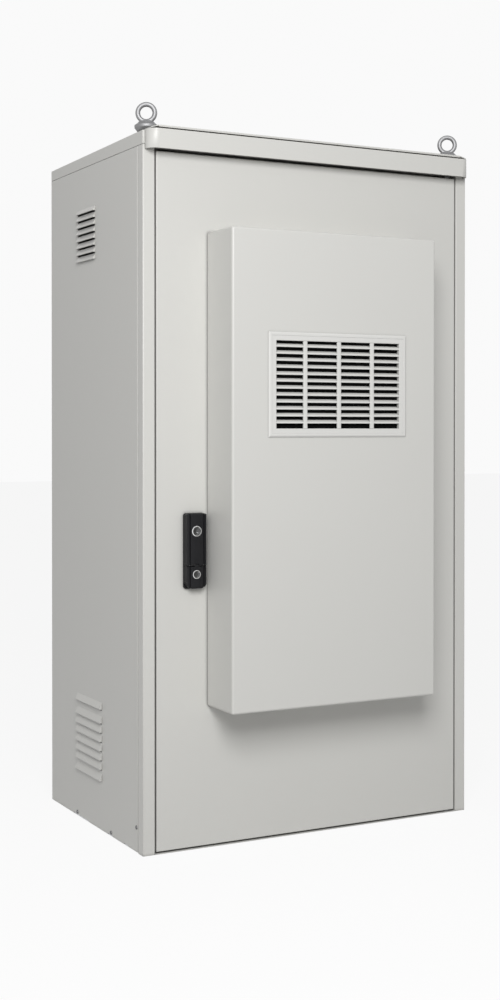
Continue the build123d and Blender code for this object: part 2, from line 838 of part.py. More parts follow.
# Equipment shelf with an ear at each rail
shelf_side_gap = 5.0
shelf_half = rail_x - shelf_side_gap
shelf_hole_z = first_hole_z + shelf_hole * rail_unit
shelf_bottom = shelf_hole_z - rail_unit / 2
shelf_flange = 25.0
ear_height = 40.0
ear_half = rail_x + rail_face - seam
shelf_depth = rail_rear_y - rail_front_y
with BuildPart() as equipment_shelf:
    with Locations((0, rail_middle, shelf_bottom)):
        Box(2 * shelf_half, shelf_depth, shelf_flange, align=(Align.CENTER, Align.CENTER, Align.MIN))
    with Locations((0, rail_middle, shelf_bottom + sheet)):
        Box(
            2 * (shelf_half - sheet),
            shelf_depth - 2 * sheet,
            shelf_flange,
            align=(Align.CENTER, Align.CENTER, Align.MIN),
            mode=Mode.SUBTRACT,
        )
    for y in (rail_front_y - sheet / 2, rail_rear_y + sheet / 2):
        with Locations((0, y, shelf_bottom)):
            Box(2 * ear_half, sheet, ear_height, align=(Align.CENTER, Align.CENTER, Align.MIN))
        with Locations((0, y, shelf_bottom + shelf_flange)):
            Box(
                2 * (shelf_half - sheet),
                2 * sheet,
                ear_height,
                align=(Align.CENTER, Align.CENTER, Align.MIN),
                mode=Mode.SUBTRACT,
            )
    with BuildSketch(Plane.XZ.offset(-rail_middle)):
        with Locations((rail_hole_spacing / 2, shelf_hole_z), (-rail_hole_spacing / 2, shelf_hole_z)):
            Circle(back_screw_diameter / 2 + hole_play)
    extrude(amount=shelf_depth, both=True, mode=Mode.SUBTRACT)
equipment_shelf.part.label = "equipment_shelf"
export_step(equipment_shelf.part, "parts/equipment_shelf.step")

# Earth bar on two insulators, on the floor in front of the rails
earth_bar_from_front = 65.0
earth_bar_y = front + earth_bar_from_front
earth_bar_length = 220.0
earth_bar_width = 25.0
earth_bar_thickness = 5.0
insulator_radius = 11.0
insulator_height = 25.0
insulator_spacing = 180.0
earth_hole_count = 6
earth_hole_radius = 3.3
with BuildPart() as bar_insulators:
    with BuildSketch(Plane.XY.offset(floor_top)):
        with Locations((0, earth_bar_y)):
            with GridLocations(insulator_spacing, 1, 2, 1):
                RegularPolygon(insulator_radius, 6)
    extrude(amount=insulator_height)
bar_insulators.part.label = "bar_insulators"
export_step(bar_insulators.part, "parts/bar_insulators.step")

with BuildPart() as earth_bar:
    with BuildSketch(Plane.XY.offset(floor_top + insulator_height)):
        with Locations((0, earth_bar_y)):
            Rectangle(earth_bar_length, earth_bar_width)
            with GridLocations(earth_bar_length / (earth_hole_count + 2), 1, earth_hole_count, 1):
                Circle(earth_hole_radius, mode=Mode.SUBTRACT)
    extrude(amount=earth_bar_thickness)
earth_bar.part.label = "earth_bar"
export_step(earth_bar.part, "parts/earth_bar.step")

# Screws of the side panels, of the back panel and of the shelf
with BuildPart() as panel_screws:
    for side in (-1, 1):
        for y, z in side_screw_places:
            head_plane = Plane(origin=(side * half_width, y, z), z_dir=(side, 0, 0))
            with BuildSketch(head_plane):
                Circle(panel_screw_head)
            extrude(amount=panel_screw_head_height, taper=head_taper)
            with BuildSketch(head_plane):
                Circle(side_screw_diameter / 2)
            extrude(amount=-panel_screw_length)
    round_places = [(side * back_screw_x, rear, z, 1) for side in (-1, 1) for z in back_screw_zs]
    for side in (-1, 1):
        round_places.append((side * rail_hole_spacing / 2, rail_front_y - sheet, shelf_hole_z, -1))
        round_places.append((side * rail_hole_spacing / 2, rail_rear_y + sheet, shelf_hole_z, 1))
    for x, y, z, outward in round_places:
        head_plane = Plane(origin=(x, y, z), z_dir=(0, outward, 0))
        with BuildSketch(head_plane):
            Circle(screw_head_radius)
        extrude(amount=screw_head_height)
        with BuildSketch(head_plane):
            Circle(back_screw_diameter / 2)
        extrude(amount=-screw_length)
panel_screws.part.label = "panel_screws"
export_step(panel_screws.part, "parts/panel_screws.step")

# Door pivots: a collared pin on the sill and one under the head
with BuildPart() as hinge_pins:
    for start, up, gap in ((sill_top, 1, door_gap), (head_bottom, -1, door_head_gap)):
        pin_plane = Plane(origin=(pivot_x, pivot_y, start), z_dir=(0, 0, up))
        with BuildSketch(pin_plane):
            Circle(pivot_collar_radius)
        extrude(amount=gap - gasket_gap)
        with BuildSketch(pin_plane):
            Circle(pivot_diameter / 2)
        extrude(amount=gap + pivot_length)
hinge_pins.part.label = "hinge_pins"
export_step(hinge_pins.part, "parts/hinge_pins.step")

# Keepers that the lock rods enter, open towards the door
pin_offset = cam_radius * sin(pi / 4)
rod_offset = (cam_radius + pin_offset) / 2
rod_y = front + rod_depth
keeper_play = 0.5
keeper_front = rod_y - 2 * rod_diameter / 2
keeper_rear = gutter_back - seam
keeper_places = [
    (lock_x - rod_offset, seal_mid_top - sheet / 2, -1),
    (lock_x + rod_offset, seal_mid_bottom + sheet / 2, 1),
]
with BuildPart() as rod_keepers:
    for x, start, up in keeper_places:
        with BuildSketch(Plane.XY.offset(start)):
            with Locations((x, (keeper_front + keeper_rear) / 2)):
                Rectangle(keeper_width, keeper_rear - keeper_front)
        extrude(amount=up * keeper_height)
        with BuildSketch(Plane.XY.offset(start + up * keeper_top)):
            with Locations((x, rod_y)):
                SlotOverall(2 * rod_diameter + 2 * keeper_play, rod_diameter + 2 * keeper_play, rotation=90)
            with Locations((x, rod_y - rod_diameter)):
                Rectangle(rod_diameter + 2 * keeper_play, 2 * rod_diameter)
        extrude(amount=up * keeper_height, mode=Mode.SUBTRACT)
rod_keepers.part.label = "rod_keepers"
export_step(rod_keepers.part, "parts/rod_keepers.step")

# Door: one folded tray, with the air conditioner's window and the spindle hole
ac_window_width = ac_width - 2 * ac_window_inset_x
ac_window_height = ac_height - 2 * ac_window_inset_z
door_z = (door_bottom + door_top) / 2
clear_play = 1.0  # radial play of a hole that a turning piece passes
pivot_hole_radius = pivot_diameter / 2 + clear_play
spindle_hole_radius = spindle_diameter / 2 + clear_play
with BuildPart() as door_panel:
    with BuildSketch(Plane.XZ.offset(-front)):
        with Locations((0, door_z)):
            Rectangle(2 * door_half, door_height)
    extrude(amount=-door_depth)
    fillet(door_panel.edges().group_by(Axis.Y)[0], radius=door_edge_radius)
    with BuildSketch(Plane.XZ.offset(-door_skin)):
        with Locations((0, door_z)):
            Rectangle(2 * (door_half - sheet), door_height - 2 * sheet)
    extrude(amount=-door_depth, mode=Mode.SUBTRACT)
    with BuildSketch(Plane.XZ.offset(-front)):
        with Locations((ac_x, ac_z)):
            Rectangle(ac_window_width, ac_window_height)
        with Locations((lock_x, spindle_height)):
            Circle(spindle_hole_radius)
    extrude(amount=-2 * sheet, mode=Mode.SUBTRACT)
    with BuildSketch(Plane.XY.offset(door_bottom)):
        with Locations((pivot_x, pivot_y)):
            Circle(pivot_hole_radius)
    extrude(amount=door_height, mode=Mode.SUBTRACT)
door_panel.part.label = "door_panel"
export_step(door_panel.part, "parts/door_panel.step")

# Stiffening channels on the door's inner face, on both sides of the window
stiffener_width = 18.0
stiffener_depth = 15.0
stiffener_gap = 25.0  # from the window's edge
stiffener_bottom = 90.0
stiffener_top = 1350.0
with BuildPart() as door_stiffeners:
    for side in (-1, 1):
        inner_edge = ac_x + side * (ac_window_width / 2 + stiffener_gap)
        with BuildSketch(Plane.XY.offset(stiffener_bottom)):
            with Locations((inner_edge + side * stiffener_width / 2, door_skin + stiffener_depth / 2)):
                Rectangle(stiffener_width, stiffener_depth)
            with Locations((inner_edge + side * stiffener_width / 2, door_skin + stiffener_depth / 2 - sheet)):
                Rectangle(stiffener_width - 2 * sheet, stiffener_depth, mode=Mode.SUBTRACT)
        extrude(amount=stiffener_top - stiffener_bottom)
door_stiffeners.part.label = "door_stiffeners"
export_step(door_stiffeners.part, "parts/door_stiffeners.step")

# Door gasket, which meets the sealing edges of the frame
seal_mid_z = (seal_mid_top + seal_mid_bottom) / 2
seal_span = seal_mid_top - seal_mid_bottom
with BuildPart() as door_gasket:
    with BuildSketch(Plane.XZ.offset(-door_skin)):
        with Locations((0, seal_mid_z)):
            Rectangle(2 * seal_mid_x + gasket_width, seal_span + gasket_width)
            Rectangle(2 * seal_mid_x - gasket_width, seal_span - gasket_width, mode=Mode.SUBTRACT)
    extrude(amount=-(seal_tip - gasket_gap - door_skin))
door_gasket.part.label = "door_gasket"
export_step(door_gasket.part, "parts/door_gasket.step")

# Hinge bushes in the door's corners
bush_inner_x = pivot_x - pivot_collar_radius
bush_outer_x = door_half - sheet
bush_rear = pivot_y + pivot_behind_front
with BuildPart() as hinge_bushes:
    for low in (door_bottom + sheet, door_top - sheet - bush_length):
        with BuildSketch(Plane.XY.offset(low)):
            with Locations(((bush_inner_x + bush_outer_x) / 2, (door_skin + bush_rear) / 2)):
                Rectangle(bush_outer_x - bush_inner_x, bush_rear - door_skin)
            with Locations((pivot_x, pivot_y)):
                Circle(pivot_diameter / 2 + pivot_play, mode=Mode.SUBTRACT)
        extrude(amount=bush_length)
hinge_bushes.part.label = "hinge_bushes"
export_step(hinge_bushes.part, "parts/hinge_bushes.step")

# Guides of the lock rods
guide_width = 16.0
guide_thickness = 8.0
guide_play = 0.1
guide_wall = 4.0
guide_places = [
    (lock_x - rod_offset, 1300.0),
    (lock_x - rod_offset, 800.0),
    (lock_x + rod_offset, 450.0),
    (lock_x + rod_offset, 130.0),
]
guide_rear = rod_y + rod_diameter / 2 + guide_wall
with BuildPart() as rod_guides:
    for x, z in guide_places:
        with BuildSketch(Plane.XY.offset(z - guide_thickness / 2)):
            with Locations((x, (door_skin + guide_rear) / 2)):
                Rectangle(guide_width, guide_rear - door_skin)
            with Locations((x, rod_y)):
                Circle(rod_diameter / 2 + guide_play, mode=Mode.SUBTRACT)
        extrude(amount=guide_thickness)
rod_guides.part.label = "rod_guides"
export_step(rod_guides.part, "parts/rod_guides.step")

# Handle: a base plate on the door, a carrier that turns, and a lever that lifts out of it
base_front = front - handle_base_thickness
handle_z = handle_bottom + handle_height / 2
handle_corner = 6.0
with BuildPart() as handle_base:
    with BuildSketch(Plane.XZ.offset(-front)):
        with Locations((lock_x, handle_z)):
            RectangleRounded(handle_base_width, handle_height, handle_corner)
        with Locations((lock_x, spindle_height)):
            Circle(spindle_hole_radius, mode=Mode.SUBTRACT)
    extrude(amount=handle_base_thickness)
handle_base.part.label = "handle_base"
export_step(handle_base.part, "parts/handle_base.step")

handle_front = front - handle_proud
handle_rear = base_front - handle_running_gap
handle_depth = handle_rear - handle_front
handle_edge = (handle_base_width - handle_rear_width) / 2
lever_pin_y = handle_front + lever_pin_depth
lever_end_drop = 2.6  # the lever's end below its pin
lever_bottom = lever_pin_height - lever_end_drop
carrier_top = lever_bottom - handle_running_gap
carrier_bottom = handle_bottom + 2 * handle_edge
carrier_corner = 15.0  # clears the air conditioner as the handle turns
lever_top = handle_bottom + handle_height - handle_edge
tongue_width = 10.0
tongue_radius = 2.7
tongue_play = 0.3
groove_x = (handle_strip_width + handle_groove_width) / 2
insert_depth = 6.0
cam_behind_skin = 13.0
cam_front = door_skin + cam_behind_skin
cam_thickness = 3.7
tenon_radius = 4.0


def handle_section():
    """Section of the handle across its length, with its two grooves."""
    with Locations((lock_x, 0)):
        Polygon(
            (-handle_rear_width / 2, handle_rear),
            (handle_rear_width / 2, handle_rear),
            (handle_front_width / 2, handle_front),
            (-handle_front_width / 2, handle_front),
            align=None,
        )
        with Locations((-groove_x, handle_front), (groove_x, handle_front)):
            Rectangle(handle_groove_width, 2 * handle_groove_depth, mode=Mode.SUBTRACT)


with BuildPart() as handle_carrier:
    with BuildSketch(Plane.XY.offset(carrier_bottom)):
        handle_section()
    extrude(amount=carrier_top - carrier_bottom)
    with BuildSketch(Plane.XZ.offset(-handle_rear)):
        with Locations((lock_x, carrier_bottom)):
            RectangleRounded(
                handle_rear_width,
                carrier_top - carrier_bottom + 2 * carrier_corner,
                carrier_corner,
                align=(Align.CENTER, Align.MIN),
            )
    extrude(amount=handle_depth, mode=Mode.INTERSECT)
    with BuildSketch(Plane.XZ.offset(-handle_front)):
        with Locations((lock_x, spindle_height)):
            Circle(insert_diameter / 2 + pivot_play)
    extrude(amount=-insert_depth, mode=Mode.SUBTRACT)
    # The tongue that carries the lever's pin
    with BuildSketch(Plane.YZ.offset(lock_x)):
        with Locations((lever_pin_y, lever_pin_height)):
            Circle(tongue_radius)
        with Locations((lever_pin_y, carrier_top)):
            Rectangle(2 * tongue_radius, 2 * (lever_pin_height - carrier_top))
    extrude(amount=tongue_width / 2, both=True)
    with BuildSketch(Plane.YZ.offset(lock_x)):
        with Locations((lever_pin_y, lever_pin_height)):
            Circle(lever_pin_radius + pivot_play)
    extrude(amount=tongue_width, both=True, mode=Mode.SUBTRACT)
    # Spindle, with a turned end that is riveted over the cam
    with BuildSketch(Plane.XZ.offset(-handle_rear)):
        with Locations((lock_x, spindle_height)):
            Circle(spindle_diameter / 2)
    extrude(amount=-(cam_front - handle_rear))
    with BuildSketch(Plane.XZ.offset(-handle_rear)):
        with Locations((lock_x, spindle_height)):
            Circle(tenon_radius)
    extrude(amount=-(cam_front + cam_thickness - handle_rear))
handle_carrier.part.label = "handle_carrier"
export_step(handle_carrier.part, "parts/handle_carrier.step")

cap_recess = 1.5
cap_rim = 2.2
with BuildPart() as spindle_cap:
    with BuildSketch(Plane.XZ.offset(-handle_front)):
        with Locations((lock_x, spindle_height)):
            Circle(insert_diameter / 2)
    extrude(amount=-insert_depth)
    with BuildSketch(Plane.XZ.offset(-handle_front)):
        with Locations((lock_x, spindle_height)):
            Circle(insert_diameter / 2 - cap_rim)
    extrude(amount=-cap_recess, mode=Mode.SUBTRACT)
spindle_cap.part.label = "spindle_cap"
export_step(spindle_cap.part, "parts/spindle_cap.step")

# Cam: a disc with two pins that drive the lock rods
cam_disc_radius = 22.0
rod_flat_thickness = 4.0
cam_pin_end = rod_y + rod_diameter / 2
with BuildPart() as lock_cam:
    with BuildSketch(Plane.XZ.offset(-cam_front)):
        with Locations((lock_x, spindle_height)):
            Circle(cam_disc_radius)
            Circle(tenon_radius + pivot_play, mode=Mode.SUBTRACT)
    extrude(amount=-cam_thickness)
    with BuildSketch(Plane.XZ.offset(-cam_front)):
        for side in (-1, 1):
            with Locations((lock_x + side * pin_offset, spindle_height - side * pin_offset)):
                Circle(cam_pin_radius)
    extrude(amount=-(cam_pin_end - cam_front))
lock_cam.part.label = "lock_cam"
export_step(lock_cam.part, "parts/lock_cam.step")

lever_corner = 6.0
lever_chamfer = 3.0
lever_rear_chamfer = 2.0
barrel_bore_depth = 12.0
barrel_play = 0.05
with BuildPart() as handle_lever:
    with BuildSketch(Plane.XY.offset(lever_bottom)):
        handle_section()
    extrude(amount=lever_top - lever_bottom)
    with BuildSketch(Plane.XZ.offset(-handle_rear)):
        with Locations((lock_x, lever_top)):
            RectangleRounded(
                handle_rear_width,
                lever_top - lever_bottom + 2 * lever_corner,
                lever_corner,
                align=(Align.CENTER, Align.MAX),
            )
    extrude(amount=handle_depth, mode=Mode.INTERSECT)
    # Chamfers at the top edge and behind the pin, and a round in front of it
    with BuildSketch(Plane.YZ.offset(lock_x)):
        with BuildLine():
            Polyline(
                (handle_front, lever_bottom + lever_chamfer),
                (handle_front, lever_top - lever_chamfer),
                (handle_front + lever_chamfer, lever_top),
                (handle_rear, lever_top),
                (handle_rear, lever_bottom + lever_rear_chamfer),
                (handle_rear - lever_rear_chamfer, lever_bottom),
                (handle_front + lever_chamfer, lever_bottom),
            )
            RadiusArc(
                (handle_front + lever_chamfer, lever_bottom),
                (handle_front, lever_bottom + lever_chamfer),
                lever_chamfer,
            )
        make_face()
    extrude(amount=handle_rear_width, both=True, mode=Mode.INTERSECT)
    # Slot for the tongue, and the pin's hole
    slot_reach = tongue_radius + tongue_play
    with BuildSketch(Plane.YZ.offset(lock_x)):
        with Locations((lever_pin_y + slot_reach, lever_pin_height + slot_reach)):
            Rectangle(handle_depth, handle_depth, align=(Align.MAX, Align.MAX))
    extrude(amount=tongue_width / 2 + tongue_play, both=True, mode=Mode.SUBTRACT)
    with BuildSketch(Plane.YZ.offset(lock_x)):
        with Locations((lever_pin_y, lever_pin_height)):
            Circle(lever_pin_radius + pivot_play)
    extrude(amount=handle_rear_width, both=True, mode=Mode.SUBTRACT)
    with BuildSketch(Plane.XZ.offset(-handle_front)):
        with Locations((lock_x, barrel_height)):
            Circle(barrel_diameter / 2 + barrel_play)
    extrude(amount=-barrel_bore_depth, mode=Mode.SUBTRACT)
handle_lever.part.label = "handle_lever"
export_step(handle_lever.part, "parts/handle_lever.step")

with BuildPart() as lever_pin:
    with BuildSketch(Plane.YZ.offset(lock_x)):
        with Locations((lever_pin_y, lever_pin_height)):
            Circle(lever_pin_radius)
    extrude(amount=handle_front_width / 2 - seam, both=True)
lever_pin.part.label = "lever_pin"
export_step(lever_pin.part, "parts/lever_pin.step")

# Key barrel with its slot
barrel_proud = 0.8
key_slot_width = 2.6
key_slot_height = 10.5
key_slot_depth = 5.0
with BuildPart() as key_barrel:
    with BuildSketch(Plane.XZ.offset(-handle_front + barrel_proud)):
        with Locations((lock_x, barrel_height)):
            Circle(barrel_diameter / 2)
    extrude(amount=-(barrel_proud + barrel_bore_depth - gasket_gap))
    chamfer(key_barrel.faces().sort_by(Axis.Y)[0].edges(), length=barrel_proud)
    with BuildSketch(Plane.XZ.offset(-handle_front + barrel_proud)):
        with Locations((lock_x, barrel_height)):
            SlotOverall(key_slot_height, key_slot_width, rotation=90)
    extrude(amount=-key_slot_depth, mode=Mode.SUBTRACT)
key_barrel.part.label = "key_barrel"
export_step(key_barrel.part, "parts/key_barrel.step")

# Lock rods: each has a slotted flat round its cam pin and a round end in its keeper
slot_drift = 0.479  # largest distance of the pin from a steady travel
slot_height = 2 * (cam_pin_radius + slot_drift + cam_pin_slack)
slot_end_play = 0.15
slot_width = 2 * (cam_pin_radius + (cam_radius - pin_offset) / 2 + cam_pin_slack + slot_end_play)
flat_margin = 4.0
flat_width = slot_width + 2 * flat_margin
flat_height = slot_height + 2 * flat_margin
rod_engagement = 14.0
rod_chamfer = 1.0
rod_places = [
    (-1, keeper_places[0][1] - keeper_height + rod_engagement),
    (1, keeper_places[1][1] + keeper_height - rod_engagement),
]
with BuildPart() as lock_rod_top:
    with BuildSketch(Plane.XY.offset(rod_places[0][1])):
        with Locations((lock_x - rod_offset, rod_y)):
            Circle(rod_diameter / 2)
    extrude(amount=-(rod_places[0][1] - spindle_height - pin_offset - slot_height / 2 - flat_margin / 2))
    chamfer(lock_rod_top.faces().sort_by(Axis.Z)[-1].edges(), length=rod_chamfer)
    with BuildSketch(Plane.XZ.offset(-rod_y)):
        with Locations((lock_x - rod_offset, spindle_height + pin_offset)):
            Rectangle(flat_width, flat_height)
    extrude(amount=rod_flat_thickness / 2, both=True)
    with BuildSketch(Plane.XZ.offset(-rod_y)):
        with Locations((lock_x - rod_offset, spindle_height + pin_offset)):
            Rectangle(slot_width, slot_height)
    extrude(amount=rod_diameter, both=True, mode=Mode.SUBTRACT)
lock_rod_top.part.label = "lock_rod_top"
export_step(lock_rod_top.part, "parts/lock_rod_top.step")

with BuildPart() as lock_rod_bottom:
    with BuildSketch(Plane.XY.offset(rod_places[1][1])):
        with Locations((lock_x + rod_offset, rod_y)):
            Circle(rod_diameter / 2)
    extrude(amount=spindle_height - pin_offset - slot_height / 2 - flat_margin / 2 - rod_places[1][1])
    chamfer(lock_rod_bottom.faces().sort_by(Axis.Z)[0].edges(), length=rod_chamfer)
    with BuildSketch(Plane.XZ.offset(-rod_y)):
        with Locations((lock_x + rod_offset, spindle_height - pin_offset)):
            Rectangle(flat_width, flat_height)
    extrude(amount=rod_flat_thickness / 2, both=True)
    with BuildSketch(Plane.XZ.offset(-rod_y)):
        with Locations((lock_x + rod_offset, spindle_height - pin_offset)):
            Rectangle(slot_width, slot_height)
    extrude(amount=rod_diameter, both=True, mode=Mode.SUBTRACT)
lock_rod_bottom.part.label = "lock_rod_bottom"
export_step(lock_rod_bottom.part, "parts/lock_rod_bottom.step")

# Air conditioner: gasket, chassis and outer cover
with BuildPart() as ac_gasket:
    with BuildSketch(Plane.XZ.offset(-ac_back)):
        with Locations((ac_x, ac_z)):
            Rectangle(ac_width - 2 * ac_gasket_inset, ac_height - 2 * ac_gasket_inset)
            Rectangle(
                ac_width - 2 * ac_gasket_inset - 2 * ac_gasket_width,
                ac_height - 2 * ac_gasket_inset - 2 * ac_gasket_width,
                mode=Mode.SUBTRACT,
            )
    extrude(amount=-ac_gasket_thickness)
ac_gasket.part.label = "ac_gasket"
export_step(ac_gasket.part, "parts/ac_gasket.step")

ac_screw_depth = 17.0  # in front of the cover's rear edge
ac_screw_from_side = 56.0
ac_screw_spread = ac_width / 2 - ac_screw_from_side
ac_screw_xs = [ac_x - ac_screw_spread, ac_x, ac_x + ac_screw_spread]
ac_screw_diameter = 5.0
chassis_width = ac_width - 2 * sheet - seam
chassis_height = ac_height - 2 * sheet - seam
chassis_flange = 25.0
chassis_front = ac_back - sheet
with BuildPart() as ac_chassis:
    with BuildSketch(Plane.XZ.offset(-ac_back)):
        with Locations((ac_x, ac_z)):
            Rectangle(chassis_width, chassis_height)
    extrude(amount=chassis_flange)
    with BuildSketch(Plane.XZ.offset(-chassis_front)):
        with Locations((ac_x, ac_z)):
            Rectangle(chassis_width - 2 * sheet, chassis_height - 2 * sheet)
    extrude(amount=chassis_flange, mode=Mode.SUBTRACT)
    # The lower flange reaches forward and carries the compressor.
    chassis_floor = ac_bottom + sheet + seam / 2
    with BuildSketch(Plane.XY.offset(chassis_floor)):
        with Locations((ac_x, (ac_front + ac_edge_radius + chassis_front) / 2)):
            Rectangle(chassis_width, chassis_front - ac_front - ac_edge_radius)
        with Locations((ac_x - ac_width / 4, (ac_front + chassis_front) / 2)):
            Rectangle(ac_width / 3, ac_proud / 2, mode=Mode.SUBTRACT)
    extrude(amount=sheet)
    with BuildSketch(Plane.XY.offset(ac_bottom)):
        for x in ac_screw_xs:
            with Locations((x, ac_back - ac_screw_depth)):
                Circle(ac_screw_diameter / 2 + hole_play / 5)
    extrude(amount=ac_height, mode=Mode.SUBTRACT)
ac_chassis.part.label = "ac_chassis"
export_step(ac_chassis.part, "parts/ac_chassis.step")

grille_width = ac_width - grille_left_inset - grille_right_inset
grille_x = ac_left + grille_left_inset + grille_width / 2
grille_z = grille_bottom + grille_height / 2
outlet_slots = 9
outlet_slot_pitch = 14.0
outlet_slot_width = 6.0
outlet_slot_length = 60.0
with BuildPart() as ac_cover:
    with BuildSketch(Plane.XZ.offset(-ac_back)):
        with Locations((ac_x, ac_z)):
            Rectangle(ac_width, ac_height)
    extrude(amount=ac_back - ac_front)
    outer_edges = ac_cover.edges().group_by(Axis.Y)[0] + ac_cover.edges().filter_by(Axis.Y)
    fillet(outer_edges, radius=ac_edge_radius)
    with BuildSketch(Plane.XZ.offset(-ac_back)):
        with Locations((ac_x, ac_z)):
            Rectangle(ac_width - 2 * sheet, ac_height - 2 * sheet)
    extrude(amount=ac_back - ac_front - sheet, mode=Mode.SUBTRACT)
    with BuildSketch(Plane.XZ.offset(-ac_front)):
        with Locations((grille_x, grille_z)):
            Rectangle(grille_width - 2 * grille_lap, grille_height - 2 * grille_lap)
    extrude(amount=-2 * sheet, mode=Mode.SUBTRACT)
    with BuildSketch(Plane.XY.offset(ac_bottom)):
        with Locations((ac_x - ac_width / 4, (ac_front + chassis_front) / 2)):
            with GridLocations(outlet_slot_pitch, 1, outlet_slots, 1):
                SlotOverall(outlet_slot_length, outlet_slot_width, rotation=90)
    extrude(amount=2 * sheet, both=True, mode=Mode.SUBTRACT)
    with BuildSketch(Plane.XY.offset(ac_bottom)):
        for x in ac_screw_xs:
            with Locations((x, ac_back - ac_screw_depth)):
                Circle(ac_screw_diameter / 2 + hole_play / 5)
    extrude(amount=ac_height, mode=Mode.SUBTRACT)
ac_cover.part.label = "ac_cover"
export_step(ac_cover.part, "parts/ac_cover.step")

# Screws that hold the cover to the chassis
with BuildPart() as ac_screws:
    for side in (-1, 1):
        for x in ac_screw_xs:
            head_place = (x, ac_back - ac_screw_depth, ac_z + side * ac_height / 2)
            head_plane = Plane(origin=head_place, z_dir=(0, 0, side))
            with BuildSketch(head_plane):
                Circle(panel_screw_head)
            extrude(amount=panel_screw_head_height, taper=head_taper)
            with BuildSketch(head_plane):
                Circle(ac_screw_diameter / 2)
            extrude(amount=-panel_screw_length)
ac_screws.part.label = "ac_screws"
export_step(ac_screws.part, "parts/ac_screws.step")

# Intake grille: rows of sloping blades between mullions
grille_front = ac_front - grille_proud
grille_fit = 0.3
row_height = grille_pitch - grille_blade
columns_width = grille_width - 2 * grille_side_frame
inner_column = columns_width / 2 - grille_outer_column - 3 * grille_mullion / 2
column_widths = [grille_outer_column, inner_column, inner_column, grille_outer_column]
rows_height = (grille_rows - 1) * grille_pitch + row_height
with BuildPart() as ac_grille:
    with BuildSketch(Plane.XZ.offset(-ac_front)):
        with Locations((grille_x, grille_z)):
            Rectangle(grille_width, grille_height)
    extrude(amount=grille_proud)
    chamfer(ac_grille.faces().sort_by(Axis.Y)[0].edges(), length=grille_proud - gasket_gap)
    with BuildSketch(Plane.XZ.offset(-ac_front)):
        with Locations((grille_x, grille_z)):
            Rectangle(
                grille_width - 2 * grille_lap - 2 * grille_fit, grille_height - 2 * grille_lap - 2 * grille_fit
            )
    extrude(amount=-(grille_body_depth - grille_proud))
    blade_direction = (0, grille_body_depth, grille_blade_rise)
    with BuildSketch(Plane.XZ.offset(-grille_front)):
        column_start = grille_x - columns_width / 2
        for width in column_widths:
            with Locations((column_start + width / 2, grille_z)):
                with GridLocations(1, grille_pitch, 1, grille_rows):
                    Rectangle(width, row_height)
            column_start += width + grille_mullion
    extrude(amount=2 * grille_body_depth, dir=blade_direction, mode=Mode.SUBTRACT)
    # Behind the mullions the slots run on from side to side.
    mullion_back = grille_front + grille_mullion_depth
    mullion_rise = grille_mullion_depth * grille_blade_rise / grille_body_depth
    with BuildSketch(Plane.XZ.offset(-mullion_back)):
        with Locations((grille_x, grille_z + mullion_rise)):
            with GridLocations(1, grille_pitch, 1, grille_rows):
                Rectangle(columns_width + 2 * grille_undercut, row_height)
    extrude(amount=2 * grille_body_depth, dir=blade_direction, mode=Mode.SUBTRACT)
ac_grille.part.label = "ac_grille"
export_step(ac_grille.part, "parts/ac_grille.step")

# Dust filter behind the grille
filter_thickness = 6.0
grille_rear = grille_front + grille_body_depth
with BuildPart() as ac_filter:
    with BuildSketch(Plane.XZ.offset(-grille_rear)):
        with Locations((grille_x, grille_z)):
            Rectangle(grille_width - 4 * grille_lap, grille_height - 2 * grille_lap)
    extrude(amount=-filter_thickness)
ac_filter.part.label = "ac_filter"
export_step(ac_filter.part, "parts/ac_filter.step")

# Heat exchangers and compressor
condenser_side_gap = 36.0
condenser_width = ac_width - 2 * condenser_side_gap
condenser_height = 280.0
condenser_depth = 40.0
condenser_bottom = 520.0
exchanger_fin_pitch = 20.0
exchanger_fin_gap = 12.0
exchanger_fin_depth = 6.0
condenser_fins = int(condenser_width / exchanger_fin_pitch) - 1
with BuildPart() as ac_condenser:
    with BuildSketch(Plane.XZ.offset(-chassis_front)):
        with Locations((ac_x, condenser_bottom + condenser_height / 2)):
            Rectangle(condenser_width, condenser_height)
    extrude(amount=condenser_depth)
    with BuildSketch(Plane.XZ.offset(-chassis_front + condenser_depth)):
        with Locations((ac_x, condenser_bottom + condenser_height / 2)):
            with GridLocations(exchanger_fin_pitch, 1, condenser_fins, 1):
                Rectangle(exchanger_fin_gap, condenser_height)
    extrude(amount=-exchanger_fin_depth, mode=Mode.SUBTRACT)
ac_condenser.part.label = "ac_condenser"
export_step(ac_condenser.part, "parts/ac_condenser.step")

evaporator_side_gap = 66.0
evaporator_width = ac_width - 2 * evaporator_side_gap
evaporator_height = 260.0
evaporator_depth = 58.0
evaporator_bottom = 640.0
evaporator_fins = int(evaporator_width / exchanger_fin_pitch) - 1
with BuildPart() as ac_evaporator:
    with BuildSketch(Plane.XZ.offset(-ac_back)):
        with Locations((ac_x, evaporator_bottom + evaporator_height / 2)):
            Rectangle(evaporator_width, evaporator_height)
    extrude(amount=-evaporator_depth)
    with BuildSketch(Plane.XZ.offset(-ac_back - evaporator_depth)):
        with Locations((ac_x, evaporator_bottom + evaporator_height / 2)):
            with GridLocations(exchanger_fin_pitch, 1, evaporator_fins, 1):
                Rectangle(exchanger_fin_gap, evaporator_height)
    extrude(amount=exchanger_fin_depth, mode=Mode.SUBTRACT)
ac_evaporator.part.label = "ac_evaporator"
export_step(ac_evaporator.part, "parts/ac_evaporator.step")

